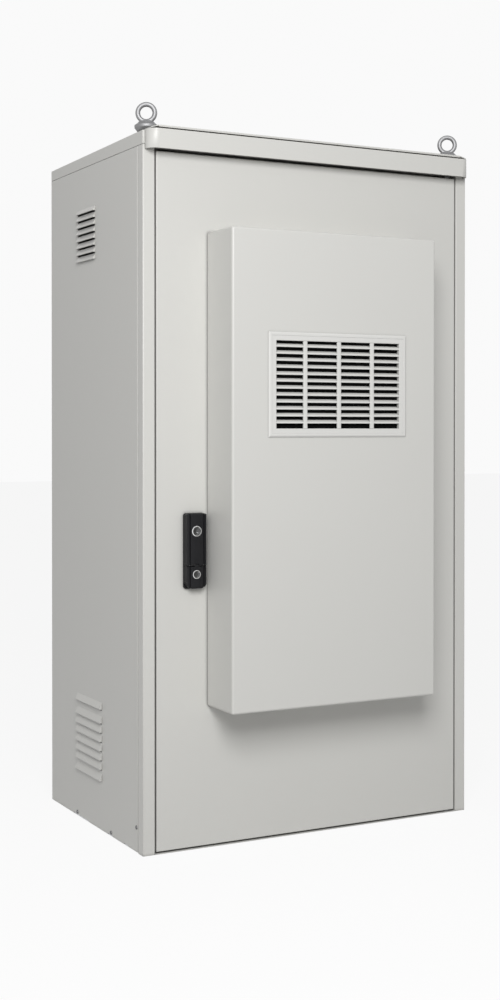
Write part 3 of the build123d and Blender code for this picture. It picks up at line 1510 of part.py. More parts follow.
compressor_radius = 48.0
compressor_height = 185.0
compressor_from_side = 117.0
compressor_from_front = 58.0
compressor_x = ac_left + ac_width - compressor_from_side
compressor_y = ac_front + compressor_from_front
compressor_round = 20.0
with BuildPart() as ac_compressor:
    with BuildSketch(Plane.XY.offset(chassis_floor + sheet)):
        with Locations((compressor_x, compressor_y)):
            Circle(compressor_radius)
    extrude(amount=compressor_height)
    fillet(ac_compressor.edges().group_by(Axis.Z)[-1], radius=compressor_round)
ac_compressor.part.label = "ac_compressor"
export_step(ac_compressor.part, "parts/ac_compressor.step")

# Fans of the two air circuits, with their motors on the chassis
outer_fan_z = grille_z
outer_fan_x = grille_x
outer_fan_behind_front = 64.0
outer_fan_rear = ac_front + outer_fan_behind_front
inner_fan_z = 1080.0
inner_fan_behind_front = 60.0
inner_fan_rear = front + inner_fan_behind_front
motor_radius = 38.0
inner_motor_front = ac_back
fan_gap = 4.0
hub_bore_depth = 20.0
blade_sheet = 2.0
blade_chord = 46.0
blade_tilt = 32.0
blade_root_lap = 3.0
blade_root = fan_hub_diameter / 2 - blade_root_lap
with BuildPart() as ac_outer_fan:
    with BuildSketch(Plane.XZ.offset(-outer_fan_rear)):
        with Locations((outer_fan_x, outer_fan_z)):
            Circle(fan_hub_diameter / 2)
    extrude(amount=fan_width)
    fillet(ac_outer_fan.edges().group_by(Axis.Y)[0], radius=4 * sheet)
    hub_middle = Location((outer_fan_x, outer_fan_rear - fan_width / 2, outer_fan_z), (90, 0, 0))
    with Locations(hub_middle):
        with PolarLocations((fan_diameter / 2 + blade_root) / 2, fan_blades):
            Box(fan_diameter / 2 - blade_root, blade_chord, blade_sheet, rotation=(blade_tilt, 0, 0))
    with BuildSketch(Plane.XZ.offset(-outer_fan_rear)):
        with Locations((outer_fan_x, outer_fan_z)):
            Circle(fan_shaft_radius + pivot_play)
    extrude(amount=hub_bore_depth, mode=Mode.SUBTRACT)
ac_outer_fan.part.label = "ac_outer_fan"
export_step(ac_outer_fan.part, "parts/ac_outer_fan.step")

inner_fan_front = inner_fan_rear - fan_width
with BuildPart() as ac_inner_fan:
    with Locations(Location((ac_x - outer_fan_x, inner_fan_front + outer_fan_rear, inner_fan_z - outer_fan_z))):
        mirrored_fan = mirror(ac_outer_fan.part, about=Plane.XZ, mode=Mode.PRIVATE)
        add(mirrored_fan)
ac_inner_fan.part.label = "ac_inner_fan"
export_step(ac_inner_fan.part, "parts/ac_inner_fan.step")

with BuildPart() as ac_fan_motors:
    for x, z, seat, fan_face, ahead in (
        (outer_fan_x, outer_fan_z, chassis_front, outer_fan_rear, 1),
        (ac_x, inner_fan_z, inner_motor_front, inner_fan_front, -1),
    ):
        with BuildSketch(Plane.XZ.offset(-seat)):
            with Locations((x, z)):
                Circle(motor_radius)
        extrude(amount=ahead * (abs(fan_face - seat) - fan_gap))
        with BuildSketch(Plane.XZ.offset(-seat)):
            with Locations((x, z)):
                Circle(fan_shaft_radius)
        extrude(amount=ahead * (abs(fan_face - seat) + hub_bore_depth - gasket_gap))
ac_fan_motors.part.label = "ac_fan_motors"
export_step(ac_fan_motors.part, "parts/ac_fan_motors.step")

# Inner cover of the air conditioner, with a return slot row above and a supply row below
inner_rear = front + ac_inner_depth
inner_width = ac_width - 2 * ac_inner_inset_x
inner_height = ac_height - 2 * ac_inner_inset_z
inner_box_width = inner_width - 2 * ac_rim
inner_box_height = inner_height - 2 * ac_rim
inner_slot_pitch = 16.0
inner_slot_rows = 12
inner_slot_from_side = 96.0
inner_slot_width = ac_width - 2 * inner_slot_from_side
inner_slot_height = 7.0
with BuildPart() as ac_inner_cover:
    with BuildSketch(Plane.XZ.offset(-door_skin)):
        with Locations((ac_x, ac_z)):
            Rectangle(inner_width, inner_height)
    extrude(amount=-sheet)
    with BuildSketch(Plane.XZ.offset(-door_skin)):
        with Locations((ac_x, ac_z)):
            Rectangle(inner_box_width, inner_box_height)
    extrude(amount=-(inner_rear - door_skin))
    fillet(ac_inner_cover.edges().group_by(Axis.Y)[-1], radius=bend)
    with BuildSketch(Plane.XZ.offset(-door_skin)):
        with Locations((ac_x, ac_z)):
            Rectangle(inner_box_width - 2 * sheet, inner_box_height - 2 * sheet)
    extrude(amount=-(inner_rear - door_skin - sheet), mode=Mode.SUBTRACT)
    with BuildSketch(Plane.XZ.offset(-inner_rear)):
        for middle in (inner_fan_z, condenser_bottom - inner_slot_rows / 2 * inner_slot_pitch):
            with Locations((ac_x, middle)):
                with GridLocations(1, inner_slot_pitch, 1, inner_slot_rows):
                    Rectangle(inner_slot_width, inner_slot_height)
    extrude(amount=2 * sheet, both=True, mode=Mode.SUBTRACT)
ac_inner_cover.part.label = "ac_inner_cover"
export_step(ac_inner_cover.part, "parts/ac_inner_cover.step")
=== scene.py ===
# %% [markdown]
# # A roadside utility cabinet
# The sheet metal, the lock and the air conditioner come ready made from the packed model. This lesson dresses
# them. It rounds the edges, makes the small forged, turned and moulded pieces with Blender's modelling tools,
# and gives every surface a finish that is worked out from noise and geometry, without any image.

# %% The packed model
import json
import math

import bmesh
import bpy
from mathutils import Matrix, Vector


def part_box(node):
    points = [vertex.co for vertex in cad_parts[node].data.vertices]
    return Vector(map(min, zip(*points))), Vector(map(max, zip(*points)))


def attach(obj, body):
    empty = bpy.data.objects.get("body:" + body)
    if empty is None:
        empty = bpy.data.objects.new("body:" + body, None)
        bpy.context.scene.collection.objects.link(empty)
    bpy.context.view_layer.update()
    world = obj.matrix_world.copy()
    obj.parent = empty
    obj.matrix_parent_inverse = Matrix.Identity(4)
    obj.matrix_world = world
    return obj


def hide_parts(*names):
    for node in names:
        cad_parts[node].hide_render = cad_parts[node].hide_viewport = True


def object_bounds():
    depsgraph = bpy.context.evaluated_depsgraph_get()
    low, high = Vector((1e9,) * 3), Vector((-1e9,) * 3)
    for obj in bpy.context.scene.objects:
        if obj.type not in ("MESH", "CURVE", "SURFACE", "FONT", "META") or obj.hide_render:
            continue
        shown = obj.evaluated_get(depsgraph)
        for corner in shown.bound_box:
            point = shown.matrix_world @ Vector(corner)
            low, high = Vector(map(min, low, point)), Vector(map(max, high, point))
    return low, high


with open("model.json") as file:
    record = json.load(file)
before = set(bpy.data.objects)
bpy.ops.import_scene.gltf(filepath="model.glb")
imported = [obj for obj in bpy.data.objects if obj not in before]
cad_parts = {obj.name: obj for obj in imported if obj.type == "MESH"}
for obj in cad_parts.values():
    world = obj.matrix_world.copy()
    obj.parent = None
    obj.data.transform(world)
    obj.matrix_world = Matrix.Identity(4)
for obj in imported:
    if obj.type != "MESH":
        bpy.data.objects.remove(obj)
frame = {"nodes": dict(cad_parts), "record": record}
nodes = frame["nodes"]
cad_low, cad_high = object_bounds()
mm = 0.001
print("nodes", len(nodes), "box", cad_low, cad_high)

# %% [markdown]
# ## Camera
# The photograph was taken from a little above waist height, to the left of the door, with a short telephoto
# lens. The uprights stay upright in it, so the camera hardly dips and its lens is shifted instead. A camera
# can be aimed by eye in the viewport, but these values were worked out from the edges of the body.

# %% Camera
camera_place = Vector((-1.6214, -3.0415, 0.8727))
camera_turn = math.radians(27.853)
camera_dip = math.radians(0.561)
camera_data = bpy.data.cameras.new("camera")
camera = bpy.data.objects.new("camera", camera_data)
bpy.context.scene.collection.objects.link(camera)
bpy.context.scene.camera = camera
camera.location = camera_place
camera.rotation_euler = (math.pi / 2 - camera_dip, 0, -camera_turn)
camera_data.sensor_width = 36.0
camera_data.lens = 53.70
camera_data.shift_y = -0.0577
camera_data.clip_end = 60.0
print("camera at", tuple(camera.location))

# %% [markdown]
# ## Sums on sockets
# A finish changes over a surface, and its changes are sums of patterns. Such sums can be wired by hand in the
# Shader Editor, with a Math node for every sign. A small class makes them short to write: it holds one output
# socket, and Python's own signs add the Math nodes.

# %% Sums on sockets
class Wire:
    """An output socket, with the arithmetic operators as Math nodes."""

    def __init__(self, finish, socket):
        self.finish = finish
        self.socket = socket

    def maths(self, operation, first, second):
        return self.finish.node("ShaderNodeMath", {"operation": operation}, {0: first, 1: second})

    def __add__(self, other):
        return self.maths("ADD", self, other)

    def __radd__(self, other):
        return self.maths("ADD", other, self)

    def __sub__(self, other):
        return self.maths("SUBTRACT", self, other)

    def __rsub__(self, other):
        return self.maths("SUBTRACT", other, self)

    def __mul__(self, other):
        return self.maths("MULTIPLY", self, other)

    def __rmul__(self, other):
        return self.maths("MULTIPLY", other, self)

    def smaller(self, other):
        return self.maths("MINIMUM", self, other)


print("sums ready, also", [name for name in vars(Wire) if name.startswith("__r")])

# %% [markdown]
# ## A material, node by node
# A material is a tree of nodes that ends in an output. It could be wired with the mouse, but a script can be
# read and run again. One method adds any node: it sets the node's properties, fills or links its sockets and
# hands back an output. The switch on the kind of ray is here too, because the floor and the world share it.

# %% A material, node by node
class Finish:
    """A material that is put together node by node."""

    ending = "ShaderNodeOutputMaterial"

    def __init__(self, name):
        self.material = bpy.data.materials.new(name)
        self.material.use_nodes = True
        self.tree = self.material.node_tree
        self.tree.nodes.clear()

    def node(self, kind, settings=None, inputs=None, output=0):
        """Adds a node, sets its properties, fills or links its sockets, and returns one output."""
        made = self.tree.nodes.new(kind)
        for key, value in (settings or {}).items():
            setattr(made, key, value)
        for key, value in (inputs or {}).items():
            if isinstance(value, Wire):
                self.tree.links.new(value.socket, made.inputs[key])
            else:
                made.inputs[key].default_value = value
        return Wire(self, made.outputs[output]) if made.outputs else None

    def end(self, shader):
        """Wires a shader to the output."""
        self.node(self.ending, None, {"Surface": shader})

    def seen(self):
        """1 for the rays that see, also in metal and through glass, and 0 for those that only light."""
        rays = ("Is Camera Ray", "Is Glossy Ray", "Is Transmission Ray")
        direct, mirrored, clear = (self.node("ShaderNodeLightPath", output=ray) for ray in rays)
        return (direct + mirrored + clear).smaller(1.0)


print("materials end in", Finish.ending)

# %% [markdown]
# ## Greys
# The studio and the metals are greys: neutral in the studio, and a trace bluer in zinc and chrome. Each could
# be typed in as three numbers, but a level and a warmth are easier to read and to correct.

# %% Greys
def grey(level, warm=0.0):
    """A grey with a little less blue, or a little more where warm is negative."""
    return (level, level * (1 - warm * 0.15), level * (1 - warm), 1.0)


print("a warm grey", grey(0.5, 0.05))

# %% [markdown]
# ## Floor
# The cabinet was photographed on white. More light would bleach a pale floor, but the cabinet with it. So the
# floor has two faces, and a Mix Shader chooses one by the kind of ray. To the rays that see it, it is nearly
# white, with just enough shading left to show the shadow. To the light it is an ordinary pale floor.

# %% Floor
floor_size = 40.0
floor_gap = 0.3 * mm
bpy.ops.object.select_all(action="DESELECT")
bpy.ops.mesh.primitive_plane_add(size=floor_size, location=(0, 0, cad_low.z - floor_gap))
floor = bpy.context.object
floor.name = "studio_floor"
floor_finish = Finish("studio_floor")
floor_lit = floor_finish.node("ShaderNodeBsdfDiffuse", None, {"Color": grey(0.62)})
floor_shade = floor_finish.node("ShaderNodeBsdfDiffuse", None, {"Color": grey(0.10)})
floor_glow = floor_finish.node("ShaderNodeEmission", None, {"Color": grey(0.89)})
floor_white = floor_finish.node("ShaderNodeAddShader", None, {0: floor_shade, 1: floor_glow})
floor_faces = {0: floor_finish.seen(), 1: floor_lit, 2: floor_white}
floor_finish.end(floor_finish.node("ShaderNodeMixShader", None, floor_faces))
floor.data.materials.append(floor_finish.material)
print("floor", floor_size, "metres wide,", floor_gap, "under the cabinet")

# %% [markdown]
# ## Surroundings
# A studio's walls and ceiling fill the shaded sides with a soft light. They could be modelled as a room, but
# Blender's world gives that light from all sides at once. It has a node tree too, so it is wired like a
# material, with the same switch: white to the eye, and much darker as a light.

# %% Surroundings
class Surroundings(Finish):
    """The world, put together in the same way."""

    ending = "ShaderNodeOutputWorld"

    def __init__(self, name):
        self.world = bpy.data.worlds.new(name)
        self.world.use_nodes = True
        self.tree = self.world.node_tree
        self.tree.nodes.clear()


studio = Surroundings("studio")
studio_light = studio.node("ShaderNodeBackground", None, {"Color": grey(0.30)})
studio_white = studio.node("ShaderNodeBackground", None, {"Color": grey(0.955)})
studio_faces = {0: studio.seen(), 1: studio_light, 2: studio_white}
studio.end(studio.node("ShaderNodeMixShader", None, studio_faces))
bpy.context.scene.world = studio.world
bpy.context.scene.view_settings.view_transform = "Standard"
print("world", bpy.context.scene.world.name)

# %% [markdown]
# ## Lamp
# One broad soft lamp stands high beside the camera. It lights the front squarely and the left side at a
# slant, so that the two differ in tone, as in the photograph. A sun would do that too, but it would light the
# head and the foot alike, while here the light falls off towards the foot.

# %% Lamp
lamp_place = Vector((-1.6, -3.1, 2.45))
lamp_target = Vector((-0.1, -0.3, 0.9))
lamp_data = bpy.data.lights.new("key_lamp", "AREA")
lamp_data.shape = "SQUARE"
lamp_data.size = 1.6
lamp_data.energy = 99.0
lamp = bpy.data.objects.new("key_lamp", lamp_data)
bpy.context.scene.collection.objects.link(lamp)
lamp.location = lamp_place
lamp.rotation_euler = (lamp_target - lamp_place).to_track_quat("-Z", "Y").to_euler()
print("lamp", lamp_data.energy, "watts,", round((lamp_target - lamp_place).length, 2), "metres away")

# %% [markdown]
# ## Patterns
# Paint, metal and plastic differ in their patterns, but all use the same few nodes, which get short names
# here. The patterns read Object coordinates. Those are metres in this scene, so a grain keeps its real size
# on every piece, and nothing needs unwrapping. Colours are blended, because a Math node would turn them grey.

# %% Patterns
middle = 0.5  # the level that a noise swings round


class Coating(Finish):
    """A finish with patterns and one Principled shader."""

    def place(self):
        """Object coordinates, which are the scene's own metres."""
        return self.node("ShaderNodeTexCoord", output="Object")

    def noise(self, scale, detail, roughness=0.5):
        inputs = {"Vector": self.place(), "Scale": scale, "Detail": detail, "Roughness": roughness}
        return self.node("ShaderNodeTexNoise", {"noise_dimensions": "3D"}, inputs)

    def blend(self, factor, first, second):
        """Mixes two colours, which go into the Mix node's sockets 6 and 7 and come out of output 2."""
        return self.node("ShaderNodeMix", {"data_type": "RGBA"}, {0: factor, 6: first, 7: second}, output=2)

    def bump(self, height, distance, strength):
        """A normal from a height between 0 and 1, which stands for that distance in metres."""
        inputs = {"Strength": strength, "Distance": distance, "Height": height}
        return self.node("ShaderNodeBump", None, inputs)

    def surface(self, **sockets):
        """The Principled shader, with its sockets' names written with underscores."""
        inputs = {key.replace("_", " "): value for key, value in sockets.items()}
        self.end(self.node("ShaderNodeBsdfPrincipled", None, inputs))
        return self.material


def shaded(colour, factor):
    """A colour made darker or lighter."""
    return tuple(min(1.0, part * factor) for part in colour[:3]) + (1.0,)


print("a shade of grey", shaded(grey(0.5), 0.9))

# %% [markdown]
# ## Powder coat
# Steel cabinets of this kind are powder coated. The coat is a satin grey with a fine orange peel, a hair
# lighter and darker from place to place. A scanned image could hold that, but noise has no seams and no end.
# The coat is also darkened as painted shade where another face is only millimetres away, which the Ambient
# Occlusion node measures, so joints and gaps show a painted shadow line. The moulded grille has the same
# look, smoother and paler.

# %% Powder coat
# painted shade: within this reach of another face the coat is darkened towards this share of its colour
painted_shade_reach = 7 * mm
painted_joint_shade, cloud_shade = 0.40, 0.965
cloud_scale, peel_scale, speck_scale = 2.2, 620.0, 1900.0


def powder_coat(name, colour, roughness=0.36, peel=0.05):
    """A satin coat, with the height of its peel in mm."""
    finish = Coating(name)
    cloud = finish.noise(cloud_scale, detail=3.0)
    peel_height = finish.noise(peel_scale, detail=2.0)
    speck = finish.noise(speck_scale, detail=1.0)
    sampling = {"samples": 8, "only_local": False}
    # painted shade: Ambient Occlusion darkens the coat in joints, gaps and recesses, standing in for the
    # shade there
    openness = finish.node("ShaderNodeAmbientOcclusion", sampling, {"Distance": painted_shade_reach}, output="AO")
    unshaded_tone = finish.blend(cloud, shaded(colour, cloud_shade), colour)
    return finish.surface(
        Base_Color=finish.blend(openness, shaded(colour, painted_joint_shade), unshaded_tone),
        Roughness=roughness + (cloud - middle) * 0.10 + (speck - middle) * 0.05,
        IOR=1.48,
        Normal=finish.bump(peel_height, peel * mm, 0.8),
    )


cabinet_coat = powder_coat("cabinet_coat", (0.655, 0.650, 0.622, 1))
cooler_coat = powder_coat("cooler_coat", (0.665, 0.661, 0.634, 1))
grille_plastic = powder_coat("grille_plastic", (0.715, 0.712, 0.690, 1), roughness=0.32, peel=0.02)
print("coats", cabinet_coat.name, cooler_coat.name, grille_plastic.name)

# %% [markdown]
# ## Dull metals
# The screws, the forged eyes, the bowls of the lock and the fins of the heat exchangers are dull and slightly
# blotched. One even metal colour would look like foil. So one noise makes the blotches, which change the tone
# and the roughness together, and a finer one gives the pores.

# %% Dull metals
zinc_coolness = -0.02
blotch_dark, blotch_light = 0.86, 1.08


def zinc(name, level, roughness):
    finish = Coating(name)
    blotch = finish.noise(60.0, detail=4.0, roughness=0.6)
    pores = finish.noise(900.0, detail=2.0)
    dark, light = grey(level * blotch_dark, zinc_coolness), grey(level * blotch_light, zinc_coolness)
    return finish.surface(
        Base_Color=finish.blend(blotch, dark, light),
        Metallic=1.0,
        Roughness=roughness + (blotch - middle) * 0.25,
        Normal=finish.bump(pores, 0.02 * mm, 0.5),
    )


screw_zinc = zinc("screw_zinc", 0.14, 0.42)
eye_zinc = zinc("eye_zinc", 0.30, 0.54)
lock_dark = zinc("lock_dark", 0.12, 0.22)
fin_aluminium = zinc("fin_aluminium", 0.72, 0.30)
print("dull metals", screw_zinc.name, eye_zinc.name, lock_dark.name, fin_aluminium.name)

# %% [markdown]
# ## Sheet zinc, chrome and copper
# The base frame and the inner sheets are hot dipped, and zinc that sets on steel grows flat crystals. Noise
# has no straight borders, so this pattern comes from Voronoi cells, each with its own tone and shine. Chrome
# is only smeared a little, and the earth bar's copper is tarnished in patches.

# %% Sheet zinc, chrome and copper
crystal_scale = 90.0


def spangled_zinc(name):
    """Hot dipped sheet, with its pattern of flat crystals."""
    finish = Coating(name)
    cells = {"Vector": finish.place(), "Scale": crystal_scale}
    crystals = finish.node("ShaderNodeTexVoronoi", {"feature": "F1"}, cells, output="Color")
    value = finish.node("ShaderNodeSeparateColor", None, {"Color": crystals})
    tone = finish.blend(value, grey(0.44, -0.03), grey(0.60, -0.03))
    return finish.surface(Base_Color=tone, Metallic=1.0, Roughness=0.34 + value * 0.16)


def chrome(name):
    finish = Coating(name)
    smear = finish.noise(140.0, detail=2.0)
    return finish.surface(Base_Color=grey(0.80, -0.01), Metallic=1.0, Roughness=0.10 + smear * 0.08)


def copper(name):
    finish = Coating(name)
    tarnish = finish.noise(45.0, detail=4.0)
    tone = finish.blend(tarnish, (0.62, 0.27, 0.15, 1), (0.86, 0.47, 0.30, 1))
    return finish.surface(Base_Color=tone, Metallic=1.0, Roughness=0.26 + tarnish * 0.2)


zinc_sheet = spangled_zinc("zinc_sheet")
lock_chrome = chrome("lock_chrome")
bar_copper = copper("bar_copper")
print("bright metals", zinc_sheet.name, lock_chrome.name, bar_copper.name)

# %% [markdown]
# ## Plastics and rubber
# The handle is grained black plastic, the seals are foam rubber, and the filter behind the grille is open
# foam that gives back almost no light. They could each have a function, but they differ only in colour, gloss
# and grain, so one serves for all. The shine of each is even, so it is a number on the shader's own socket.

# %% Plastics and rubber
def plastic(name, colour, roughness, grain_scale, grain_depth, shine=0.5):
    """A grained surface, with the depth of its grain in mm."""
    finish = Coating(name)
    grain = finish.noise(grain_scale, detail=3.0, roughness=0.6)
    cloud = finish.noise(30.0, detail=2.0)
    return finish.surface(
        Base_Color=finish.blend(cloud, colour, shaded(colour, 1.12)),
        Roughness=roughness + (cloud - middle) * 0.08,
        Specular_IOR_Level=shine,
        Normal=finish.bump(grain, grain_depth * mm, 0.7),
    )


handle_black = plastic("handle_black", (0.007, 0.007, 0.0085, 1), 0.38, 1500.0, 0.03, shine=0.3)
gland_black = plastic("gland_black", (0.03, 0.03, 0.032, 1), 0.45, 1200.0, 0.03)
fan_black = plastic("fan_black", (0.018, 0.018, 0.02, 1), 0.42, 900.0, 0.03)
enamel_black = plastic("enamel_black", (0.015, 0.015, 0.017, 1), 0.25, 400.0, 0.03)
seal_rubber = plastic("seal_rubber", (0.022, 0.022, 0.022, 1), 0.75, 700.0, 0.12)
filter_foam = plastic("filter_foam", (0.003, 0.003, 0.003, 1), 0.95, 380.0, 0.8, shine=0.1)
insulator_resin = plastic("insulator_resin", (0.30, 0.030, 0.018, 1), 0.30, 600.0, 0.03)
print("plastics", handle_black.name, seal_rubber.name, filter_foam.name, insulator_resin.name)

# %% [markdown]
# ## Every node gets its finish
# The packed record names a material slot for each node of the model. Finishes could be given one by one in
# the Properties editor, but a table from slot to finish dresses all nodes in one loop and forgets none. Only
# the lever's pin is set by itself: it is darker and smoother than the screws whose slot it shares.

# %% Every node gets its finish
finishes = {
    "cabinet_paint": cabinet_coat,
    "cooler_paint": cooler_coat,
    "zinc_steel": zinc_sheet,
    "eye_steel": eye_zinc,
    "screw_steel": screw_zinc,
    "lock_chrome": lock_chrome,
    "handle_black": handle_black,
    "grille_plastic": grille_plastic,
    "filter_foam": filter_foam,
    "seal_rubber": seal_rubber,
    "fan_plastic": fan_black,
    "exchanger_aluminium": fin_aluminium,
    "compressor_paint": enamel_black,
    "bar_copper": bar_copper,
    "insulator_resin": insulator_resin,
    "gland_plastic": gland_black,
}
slots = {row["node"]: row["material_slot"] for row in frame["record"]["subparts"]}
for name, node in nodes.items():
    node.data.materials.clear()
    node.data.materials.append(finishes[slots[name]])
nodes["lever_pin"].data.materials[0] = lock_dark
print("finished", len(slots), "nodes")

# %% [markdown]
# ## Rounded edges
# A folded or cut sheet never has a sharp edge: the coat rounds it, and that thin rounded line is what
# catches the light. The node's mesh stays as it is. A Weld modifier joins its loose triangles, a Decimate
# modifier dissolves the flat ones into whole faces, and a Bevel modifier rounds the edges that are left.

# %% Rounded edges
hair = 0.01 * mm  # what lies nearer than this is in the same place


def round_edges(node, width):
    weld = node.modifiers.new("weld", "WELD")
    weld.merge_threshold = hair
    flatten = node.modifiers.new("flatten", "DECIMATE")
    flatten.decimate_type = "DISSOLVE"
    flatten.angle_limit = math.radians(0.3)
    bevel = node.modifiers.new("bevel", "BEVEL")
    bevel.width = width
    bevel.segments = 2
    bevel.limit_method = "ANGLE"
    bevel.angle_limit = math.radians(25)
    bevel.harden_normals = True
    bevel.use_clamp_overlap = True


edge_widths = {
    "front_post_left": 0.5, "front_post_right": 0.5, "head_rail": 0.5, "door_sill": 0.5,
    "door_panel": 0.5, "back_panel": 0.5, "side_panel_left": 0.6, "side_panel_right": 0.6,
    "roof_fascia": 0.5, "roof_deck": 0.5, "roof_cover": 0.5, "ac_cover": 0.5,
    "handle_base": 0.8, "handle_carrier": 1.6, "handle_lever": 1.6,
}
for name, width in edge_widths.items():
    round_edges(nodes[name], width * mm)
print("rounded", len(edge_widths), "nodes")

# %% [markdown]
# ## Start a piece
# Each small piece starts as a primitive at its own size and place, and is shaped in edit mode, as by hand.
# What the mouse would click is found by a test on its place instead, so the shape can be made again at any
# time. Most of the shaping is one move, an inset followed by a push, so that move gets a name.

# %% Start a piece
def start(kind, **settings):
    """Adds one primitive on its own and goes into edit mode."""
    bpy.ops.object.select_all(action="DESELECT")
    getattr(bpy.ops.mesh, "primitive_" + kind + "_add")(**settings)
    bpy.ops.object.mode_set(mode="EDIT")
    return bpy.context.object


def pick(piece, test, kind="faces"):
    """Selects the faces or edges whose centre passes the test, in the scene's metres."""
    bpy.ops.mesh.select_mode(type="FACE" if kind == "faces" else "EDGE")
    bpy.ops.mesh.select_all(action="DESELECT")
    mesh = bmesh.from_edit_mesh(piece.data)
    for item in getattr(mesh, kind):
        corners = [piece.matrix_world @ corner.co for corner in item.verts]
        if test(sum(corners, Vector()) / len(corners)):
            item.select_set(True)
    bmesh.update_edit_mesh(piece.data)


def step(width, y=0.0, z=0.0):
    """Insets the picked face and pushes what is left of it."""
    bpy.ops.mesh.inset(thickness=width, depth=0)
    bpy.ops.transform.translate(value=(0, y, z))


print("shaping ready")

# %% [markdown]
# ## Join and copy
# Pieces that repeat are modelled once and copied, and pieces that are made in one on the real cabinet are
# joined. Operators act on all that is selected, so each of these helpers first selects only what it needs.
# Applying a transform moves an object's place into its mesh and leaves the object at the origin.

# %% Join and copy
def alone(piece):
    """Makes one object the only selected one, and the active one."""
    bpy.ops.object.select_all(action="DESELECT")
    piece.select_set(True)
    bpy.context.view_layer.objects.active = piece


def settle():
    """Moves the selected object's place into its mesh."""
    bpy.ops.object.transform_apply(location=True, rotation=True, scale=True)


def joined(parts):
    """Joins shapes into the first of them."""
    alone(parts[0])
    for part in parts:
        part.select_set(True)
    bpy.ops.object.join()
    settle()
    return parts[0]


def copied(piece, shift):
    """A copy with its own mesh, moved."""
    alone(piece)
    bpy.ops.object.duplicate(linked=False)
    made = bpy.context.object
    made.location += Vector(shift)
    settle()
    return made


print("joining and copying ready")

# %% [markdown]
# ## Finish a piece
# Every piece ends in the same way, so one helper does it. Faces that are still being edited are turned
# outwards, the place goes into the mesh, so that patterns can't slide, and the shading is smooth up to an
# angle, which keeps the real corners sharp. Then the piece gets its finish, its slot and its body.

# %% Finish a piece
def finish_piece(piece, name, finish, body, replaced=(), smooth=30):
    """Leaves edit mode and gives a piece its place, its shading, its finish and its body."""
    if bpy.context.mode == "EDIT_MESH":
        bpy.ops.mesh.select_all(action="SELECT")
        bpy.ops.mesh.normals_make_consistent(inside=False)
        bpy.ops.object.mode_set(mode="OBJECT")
    alone(piece)
    settle()
    bpy.ops.object.shade_smooth_by_angle(angle=math.radians(smooth))
    piece.name = name
    piece.data.materials.clear()
    piece.data.materials.append(finish)
    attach(piece, body)
    if replaced:
        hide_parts(*replaced)
    print(name, len(piece.data.polygons), "faces")


print("finishing ready")

# %% [markdown]
# ## Lifting eyes: the ring
# A lifting eye is forged in one piece: a ring that flows into a flared base, with a threaded shank under it.
# No bevel follows that soft join. So a ring and a base are made by themselves, and one skin is then drawn
# over both. The ring is a torus that stands upright and faces the camera a little, as in the photograph.

# %% Lifting eyes: the ring
eye_place = Vector((-0.3755, -0.228, 1.519))
eye_turn = math.radians(-28)
ring = start(
    "torus", location=eye_place, rotation=(math.pi / 2, 0, eye_turn), major_segments=72, minor_segments=24,
    major_radius=17.5 * mm, minor_radius=5.0 * mm,
)
bpy.ops.object.mode_set(mode="OBJECT")
print("ring", len(ring.data.polygons), "faces")

# %% [markdown]
# ## Lifting eyes: the base
# The base is a round foot that rises to the ring in a hollow curve, and the shank goes down through the roof.
# All of it could be spun from one profile. Here it grows from a flat cylinder: its underside is inset and
# pushed down to become the shank, and its top is inset and raised three times.

# %% Lifting eyes: the base
base_low = 1.488  # the top of the seats on the roof cover
base_radius = 24.5 * mm
base_edge = 5.0 * mm
shank_radius = 4.9 * mm
shank_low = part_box("lifting_eyes")[0].z
flare = ((5.5, 4.0), (3.0, 3.5), (4.0, 1.5))  # each inset and rise in mm
base = start(
    "cylinder", vertices=64, radius=base_radius, depth=base_edge,
    location=(eye_place.x, eye_place.y, base_low + base_edge / 2),
)
pick(base, lambda centre: centre.z < base_low + hair)
step(base_radius - shank_radius, z=shank_low - base_low)
pick(base, lambda centre: centre.z > base_low + base_edge - hair)
for width, rise in flare:
    step(width * mm, z=rise * mm)
bpy.ops.object.mode_set(mode="OBJECT")
print("base", len(base.data.polygons), "faces, shank down to", shank_low)

# %% [markdown]
# ## Lifting eyes: one skin
# A Boolean union would leave a hard corner where the ring meets the base. A voxel Remesh lays one closed skin
# of small squares over both instead, and a Smooth modifier melts the corners in it. The second eye is turned
# the same way as the first, so it is a plain copy and not a mirror image.

# %% Lifting eyes: one skin
eye = joined([ring, base])
skin = eye.modifiers.new("skin", "REMESH")
skin.mode = "VOXEL"
skin.voxel_size = 0.7 * mm
melt = eye.modifiers.new("melt", "SMOOTH")
melt.iterations = 6
melt.factor = 0.5
for modifier in ("skin", "melt"):
    bpy.ops.object.modifier_apply(modifier=modifier)
eyes = joined([eye, copied(eye, (-2 * eye_place.x, 0, 0))])
finish_piece(eyes, "forged_eyes", eye_zinc, "cabinet", ["lifting_eyes"], smooth=60)

# %% [markdown]
# ## Lock inserts: a turned disc
# The key barrel and the cap over the handle's spindle are turned pieces. A spin would make them from a
# profile. Here a cylinder lies with one end to the front, and that end is inset and sunk step by step, so
# that each step is a width and a depth, as on a turner's drawing.

# %% Lock inserts: a turned disc
def turned_disc(centre, radius, depth, steps):
    """A disc that faces the front, with its face at the centre. Each step is an inset and a sinking in mm."""
    disc = start(
        "cylinder", vertices=64, radius=radius, depth=depth, location=centre + Vector((0, depth / 2, 0)),
        rotation=(math.pi / 2, 0, 0),
    )
    pick(disc, lambda place: place.y < centre.y + hair)
    for width, sink in steps:
        step(width * mm, y=sink * mm)
    bpy.ops.object.mode_set(mode="OBJECT")
    return disc


print("turning ready")

# %% [markdown]
# ## Lock inserts: rim and bowl
# Both inserts have a chromed rim, raised to a narrow crest, round a dark dished bowl. One disc with two
# materials could show that, but a piece here has one finish, so the bowl is a disc of its own that is set
# back in the hole of the rim. The rim takes its size and place from the node that it stands for.

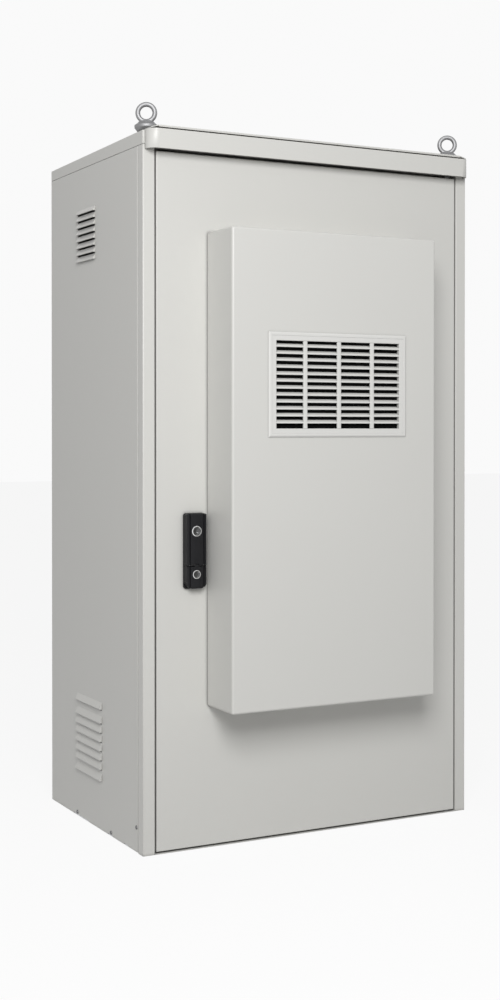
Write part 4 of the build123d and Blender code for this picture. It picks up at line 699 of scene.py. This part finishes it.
# %% Lock inserts: rim and bowl
rim_back = 0.7 * mm  # how far the rim's outer edge lies behind its crest
rim_steps = ((0.35, -0.45), (0.8, -0.25), (0.9, 0.15), (0.5, 1.3), (0.2, 3.0))
rim_width = 2.7 * mm
bowl_back = 1.35 * mm  # how far the bowl's edge lies behind that crest
bowl_thickness = 2.9 * mm
bowl_slope = 0.3  # the share of the bowl's radius that slopes


def chromed_insert(node, name, body, bowl_depth):
    """Finishes the rim in the place of a round node, and returns the unfinished bowl and the centre."""
    low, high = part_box(node)
    centre = Vector(((low.x + high.x) / 2, low.y, (low.z + high.z) / 2))
    radius = (high.x - low.x) / 2
    rim_face = centre + Vector((0, rim_back, 0))
    rim = turned_disc(rim_face, radius, high.y - rim_face.y, rim_steps)
    finish_piece(rim, name + "_rim", lock_chrome, body, [node])
    bowl_face = centre + Vector((0, bowl_back, 0))
    bowl_radius = radius - rim_width
    bowl_steps = ((0.3, 0.1), (bowl_slope * bowl_radius / mm, bowl_depth), (0.8, 0.1))
    return turned_disc(bowl_face, bowl_radius, bowl_thickness, bowl_steps), centre


print("inserts ready, rims", rim_width, "metres wide")

# %% [markdown]
# ## Lock inserts: the key
# The key goes into an upright slot in the middle of the barrel. A Boolean could cut it. Here the middle of
# the bowl is inset once more, squeezed from both sides until it is a slot, and pushed in, which leaves clean
# rings of faces round it.

# %% Lock inserts: the key
key_reach = 2.6 * mm
key_inset = 0.25 * mm
key_narrowness = 0.28
key_depth = 1.6 * mm
key_bowl, key_centre = chromed_insert("key_barrel", "key", "key", 0.9)
bpy.ops.object.mode_set(mode="EDIT")
pick(key_bowl, lambda place: (place - key_centre).length < key_reach)
bpy.ops.mesh.inset(thickness=key_inset, depth=0)
bpy.ops.transform.resize(value=(key_narrowness, 1, 1), center_override=key_centre)
bpy.ops.transform.translate(value=(0, key_depth, 0))
finish_piece(key_bowl, "key_bowl", lock_dark, "key")

# %% [markdown]
# ## Lock inserts: the spindle's cap
# The cap hides the end of the spindle on which the handle turns. It is a little smaller than the key barrel
# and has no slot. It could be a scaled copy, but then its rim would be narrower too, so it is turned anew.

# %% Lock inserts: the spindle's cap
cap_bowl = chromed_insert("spindle_cap", "spindle_cap", "handle", 0.7)[0]
finish_piece(cap_bowl, "spindle_cap_bowl", lock_dark, "handle")

# %% [markdown]
# ## Intake grille: the frame
# The air intake is a moulded frame round an open window, with a collar that reaches back into the cover. The
# window could be cut with a Boolean, but then the steps round it would be hard to place. So one block is
# inset from both ends, the back drawn out into the collar and the front moved in steps, and a bridge between
# the two middles opens the window.

# %% Intake grille: the frame
grille_low, grille_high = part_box("ac_grille")
grille_middle = (grille_low + grille_high) / 2
grille_size = grille_high - grille_low
side_width = 17.6 * mm
collar_depth = 6.3 * mm
flange_back = -0.3801  # just before the front of the cooler's cover
flange_front = grille_low.y + 2.4 * mm
flange_middle = (grille_middle.x, (flange_back + flange_front) / 2, grille_middle.z)
# each inset and sinking of the front, in mm
front_steps = ((2.6, -2.2), (0.5, -0.2), (4.0, 0.0), (0.5, 0.7), (9.2, 0.0), (0.8, 0.5))
frame_piece = start("cube", size=1.0, location=flange_middle)
bpy.ops.transform.resize(value=(grille_size.x, flange_back - flange_front, grille_size.z))
pick(frame_piece, lambda centre: centre.y > flange_back - hair)
step(side_width, y=collar_depth)
pick(frame_piece, lambda centre: centre.y < flange_front + hair)
for width, sink in front_steps:
    step(width * mm, y=sink * mm)
pick(frame_piece, lambda centre: (centre.xz - grille_middle.xz).length < mm)
bpy.ops.mesh.bridge_edge_loops()
finish_piece(frame_piece, "grille_frame", grille_plastic, "door", ["ac_grille"], smooth=20)

# %% [markdown]
# ## Intake grille: one bar
# The blades and the uprights are the same kind of bar, with a rounded nose that catches a bright line. A
# Bevel modifier would round all its edges. The bevel operator rounds only what is picked, which is here the
# two long edges at the front. The middles of the short ones lie in the middle of the bar, so a test across
# the bar leaves them out.

# %% Intake grille: one bar
def bar(middle_x, middle_z, width, height, front, depth, lift, nose):
    """A bar with a rounded front, lifted at the rear."""
    piece = start("cube", size=1.0, location=(middle_x, front + depth / 2, middle_z))
    bpy.ops.transform.resize(value=(width, depth, height))
    pick(piece, lambda centre: centre.y > front + depth - hair)
    bpy.ops.transform.translate(value=(0, 0, lift))

    def long_front_edge(centre):
        across = centre.z - middle_z if width > height else centre.x - middle_x
        return centre.y < front + hair and abs(across) > 0.4 * min(width, height)

    pick(piece, long_front_edge, "edges")
    bpy.ops.mesh.bevel(offset=nose, segments=3)
    bpy.ops.object.mode_set(mode="OBJECT")
    return piece


print("bars ready")

# %% [markdown]
# ## Intake grille: the blades
# Twelve blades fill the window. The rear edge of each is lifted, so that rain runs out to the front. An Array
# modifier would repeat the first one, but plain copies are easier to follow, and each has its own mesh.

# %% Intake grille: the blades
blade_count = 12
blade_pitch = 14.2 * mm
window_width = grille_size.x - 2 * side_width
lowest_blade = grille_middle.z - (blade_count - 1) / 2 * blade_pitch
blade = bar(
    grille_middle.x, lowest_blade, window_width, 3.8 * mm,
    front=grille_low.y + 0.9 * mm, depth=9.8 * mm, lift=4.2 * mm, nose=1.5 * mm,
)
bars = [blade] + [copied(blade, (0, 0, index * blade_pitch)) for index in range(1, blade_count)]
print(len(bars), "blades over", round(window_width, 4), "metres")

# %% [markdown]
# ## Intake grille: the uprights
# Three uprights stand before the blades and stiffen them. All are moulded in one, so they become one piece.
# A Boolean union would take out the faces where they cross, but those are hidden, and joining is enough.

# %% Intake grille: the uprights
upright_pitch = 80.9 * mm
upright_height = grille_size.z - 35.6 * mm
for side in (-1, 0, 1):
    bars.append(bar(
        grille_middle.x + side * upright_pitch, grille_middle.z, 9.2 * mm, upright_height,
        front=grille_low.y + 0.5 * mm, depth=3.4 * mm, lift=0.0, nose=0.9 * mm,
    ))
finish_piece(joined(bars), "grille_blades", grille_plastic, "door")

# %% [markdown]
# ## The end
# The dressed model has to fit in the box of the packed one.
